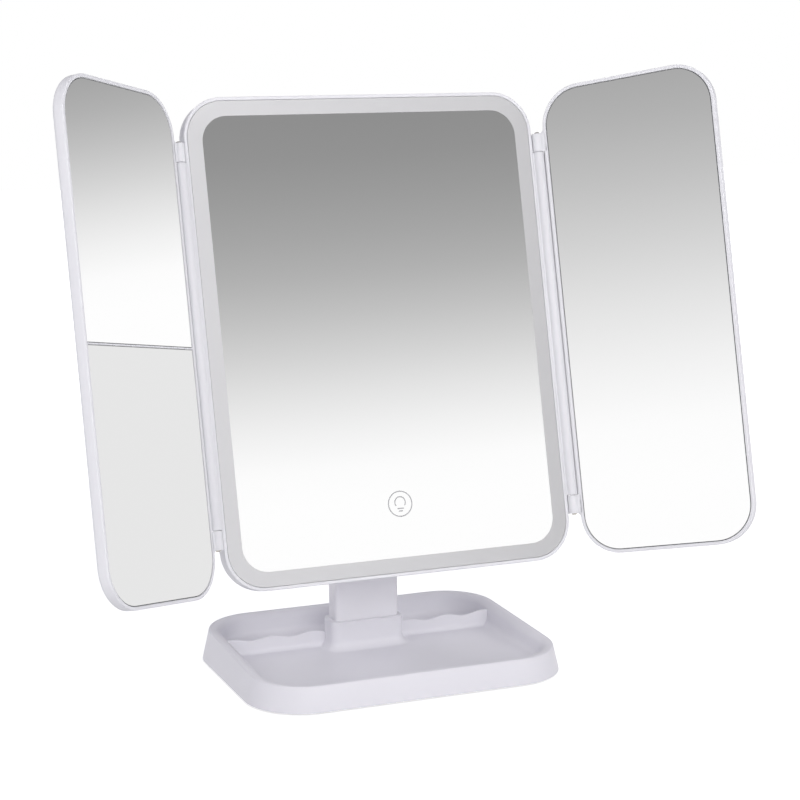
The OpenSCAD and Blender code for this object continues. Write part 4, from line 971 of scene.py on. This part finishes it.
pin = {"length": 22.4, "radius": 1, "point": 0.3,
       "head": ((1.5, 0), (1.5, 0.35), (1.3, 0.62), (0.8, 0.84), (0, 0.9))}
knuckleEnds = (hinge["knuckles"][0][0], hinge["knuckles"][1][1])
pinTip = pin["radius"] - pin["point"]
pinProfile = [(0, -pin["length"]), (pinTip, -pin["length"]), (pin["radius"], pin["point"] - pin["length"]),
              (pin["radius"], 0), *pin["head"]]
for side, name in ((-1, "left"), (1, "right")):
    place = wingPlace(side)
    addPiece(name + "WingShell", wingShell(side < 0), place, name + "_wing", whiteAbs,
             [name + "_wing_shell"])
    pins = joined([placedCopies(turn(pinProfile, 20), [(0, v, 0)], (turnBy, 0, 0), nickelSteel)
                   for v, turnBy in zip(knuckleEnds, (pi / 2, -pi / 2))])
    addPiece(name + "HingePins", pins, place, "head", nickelSteel, [name + "_hinge_pins"])
below, above = wing["splitFrom"] - wing["splitGap"], wing["splitTo"] + wing["splitGap"]
for name, node, side, silver, v0, v1 in (
        ("leftUpperMirror", "left_upper_mirror", -1, centreSilver, above, panel["height"]),
        ("leftLowerMirror", "left_lower_mirror", -1, lowerSilver, 0, below),
        ("rightMirror", "right_mirror", 1, centreSilver, 0, panel["height"])):
    addPiece(name, wingMirror(v0, v1), wingPlace(side), "left_wing" if side < 0 else "right_wing",
             [groundEdge, silver], [node], angle=20)
print("wings made")

# the inside pieces keep their solids and get their finish
keptFinish = {
    "friction_washers": fibreDisc, "mirror_backing": backingSheet, "light_board": whiteBoard,
    "leds": ledResin, "driver_board": greenBoard, "touch_sensor": goldPad, "left_upper_tape": foamTape,
    "left_lower_tape": foamTape, "right_tape": foamTape,
}
for node, material in keptFinish.items():
    nodes[node].data.materials.clear()
    nodes[node].data.materials.append(material)
    nodes[node].visible_glossy = False

# floor: paper that stays white to the camera and in the mirrors and takes the shadow; further out it
# fades into the backdrop
paper = {"size": 8, "colour": "#DEDEDF", "nearGlow": 0.6, "farGlow": 1.1, "fadeFrom": 0.3, "fadeTo": 1.2}
floorMaterial, tree, spot = newMaterial("whitePaper")
glossy, seen = rayKinds(tree)
distance = addNode(tree, "ShaderNodeVectorMath", {0: spot}, operation="LENGTH")
fade = addNode(tree, "ShaderNodeMapRange", {
    "Value": distance.outputs["Value"], "From Min": paper["fadeFrom"], "From Max": paper["fadeTo"],
    "To Min": paper["nearGlow"], "To Max": paper["farGlow"]}, interpolation_type="SMOOTHSTEP")
lift = addNode(tree, "ShaderNodeMath", {0: seen, 1: fade}, operation="MULTIPLY")
sheet = addNode(tree, "ShaderNodeBsdfDiffuse", {"Color": hexColour(paper["colour"])})
glow = addNode(tree, "ShaderNodeEmission", {"Strength": lift})
both = addNode(tree, "ShaderNodeAddShader", {0: sheet, 1: glow})
plainWhite = addNode(tree, "ShaderNodeEmission", {"Strength": 1})
paperShader = addNode(tree, "ShaderNodeMixShader", {0: glossy, 1: both, 2: plainWhite})
addNode(tree, "ShaderNodeOutputMaterial", {"Surface": paperShader})
half = paper["size"] / 2
floor = newObject("paperFloor", newMesh(
    "paperFloor", [(-half, -half, 0), (half, -half, 0), (half, half, 0), (-half, half, 0)], [(0, 1, 2, 3)]))
floor.data.materials.append(floorMaterial)

# what the mirrors see: a studio that darkens upward, sooner towards its back and its left; (level, grey)
studio = {"ambient": 0.4, "ambientTint": "#F3F1FF", "backward": 0.193, "sideward": -0.073, "steeper": 0.346,
          "greys": [(0.055, "#FFFFFF"), (0.076, "#FDFDFD"), (0.098, "#F2F2F2"), (0.12, "#E4E4E4"),
                    (0.142, "#D3D3D3"), (0.164, "#C2C2C2"), (0.186, "#B2B2B2"), (0.208, "#A6A6A6"),
                    (0.23, "#9C9C9C"), (0.252, "#939393"), (0.274, "#8F8F8F")]}
world = bpy.data.worlds.new("studio")
scene.world = world
world.use_nodes = True
tree = world.node_tree
tree.nodes.clear()
glossy, seen = rayKinds(tree)
direction = addNode(tree, "ShaderNodeTexCoord").outputs["Generated"]
level = addNode(tree, "ShaderNodeVectorMath",
                {0: direction, 1: (studio["sideward"], studio["backward"], 1)}, operation="DOT_PRODUCT")
x, y, z = addNode(tree, "ShaderNodeSeparateXYZ", {0: direction}).outputs
slant = addNode(tree, "ShaderNodeMath", {0: x, 1: z}, operation="MULTIPLY")
height = addNode(tree, "ShaderNodeMath", {0: slant, 1: studio["steeper"], 2: level.outputs["Value"]},
                 operation="MULTIPLY_ADD")
band = addNode(tree, "ShaderNodeValToRGB", {"Fac": height})
stops = band.color_ramp.elements
while len(stops) < len(studio["greys"]):
    stops.new(0.5)
for stop, (position, grey) in zip(stops, studio["greys"]):
    stop.position = position
    stop.color = hexColour(grey)
mirrored = addNode(tree, "ShaderNodeBackground", {"Color": band, "Strength": 1})
plain = addNode(tree, "ShaderNodeBackground",
                {"Color": hexColour(studio["ambientTint"]), "Strength": studio["ambient"]})
white = addNode(tree, "ShaderNodeBackground", {"Color": (1, 1, 1, 1), "Strength": 1})
lit = addNode(tree, "ShaderNodeMixShader", {0: glossy, 1: plain, 2: mirrored})
sky = addNode(tree, "ShaderNodeMixShader", {0: seen, 1: lit, 2: white})
addNode(tree, "ShaderNodeOutputWorld", {"Surface": sky})


# the direction so many degrees round from the front and so many up
def towards(azimuth, elevation):
    a, e = radians(azimuth), radians(elevation)
    return Vector((sin(a) * cos(e), -cos(a) * cos(e), sin(e)))


# soft boxes round the table: (degrees from the front, degrees up, watts)
lamps = {"front": (0, 22, 22.4), "left": (-62, 25, 13.4), "right": (62, 30, 9), "backRight": (150, 30, 7),
         "backLeft": (-150, 30, 7)}
softBox = {"distance": 2.2, "size": 1.2, "aim": 0.15, "colour": (1, 0.995, 0.965)}
for name, (azimuth, elevation, power) in lamps.items():
    light = bpy.data.lights.new(name, "AREA")
    light.size = softBox["size"]
    light.energy = power
    light.color = softBox["colour"]
    lamp = newObject(name, light)
    away = towards(azimuth, elevation)
    lamp.location = away * softBox["distance"] + Vector((0, 0, softBox["aim"]))
    lamp.rotation_euler = away.to_track_quat("Z", "Y").to_euler()
    lamp.visible_glossy = False

view = {"target": (0.005284, -0.006002, 0.101669), "distance": 1.07897, "azimuth": -21.591,
        "elevation": 12.659, "roll": -0.501, "lens": 88.0, "shiftX": 0.0128, "shiftY": 0.112}
back = towards(view["azimuth"], view["elevation"])
right = (-back).cross(Vector((0, 0, 1))).normalized()
up = back.cross(right)
roll = Matrix.Rotation(radians(view["roll"]), 3, back)
axes = Matrix((roll @ right, roll @ up, back)).transposed().to_4x4()
camera = newObject("camera", bpy.data.cameras.new("camera"))
camera.data.lens = view["lens"]
camera.data.sensor_width = 36
camera.data.shift_x = view["shiftX"]
camera.data.shift_y = view["shiftY"]
eye = Vector(view["target"]) + basePlace.translation + back * view["distance"]
camera.matrix_world = Matrix.Translation(eye) @ axes
scene.camera = camera
scene.view_settings.view_transform = "Standard"

print("scene made")
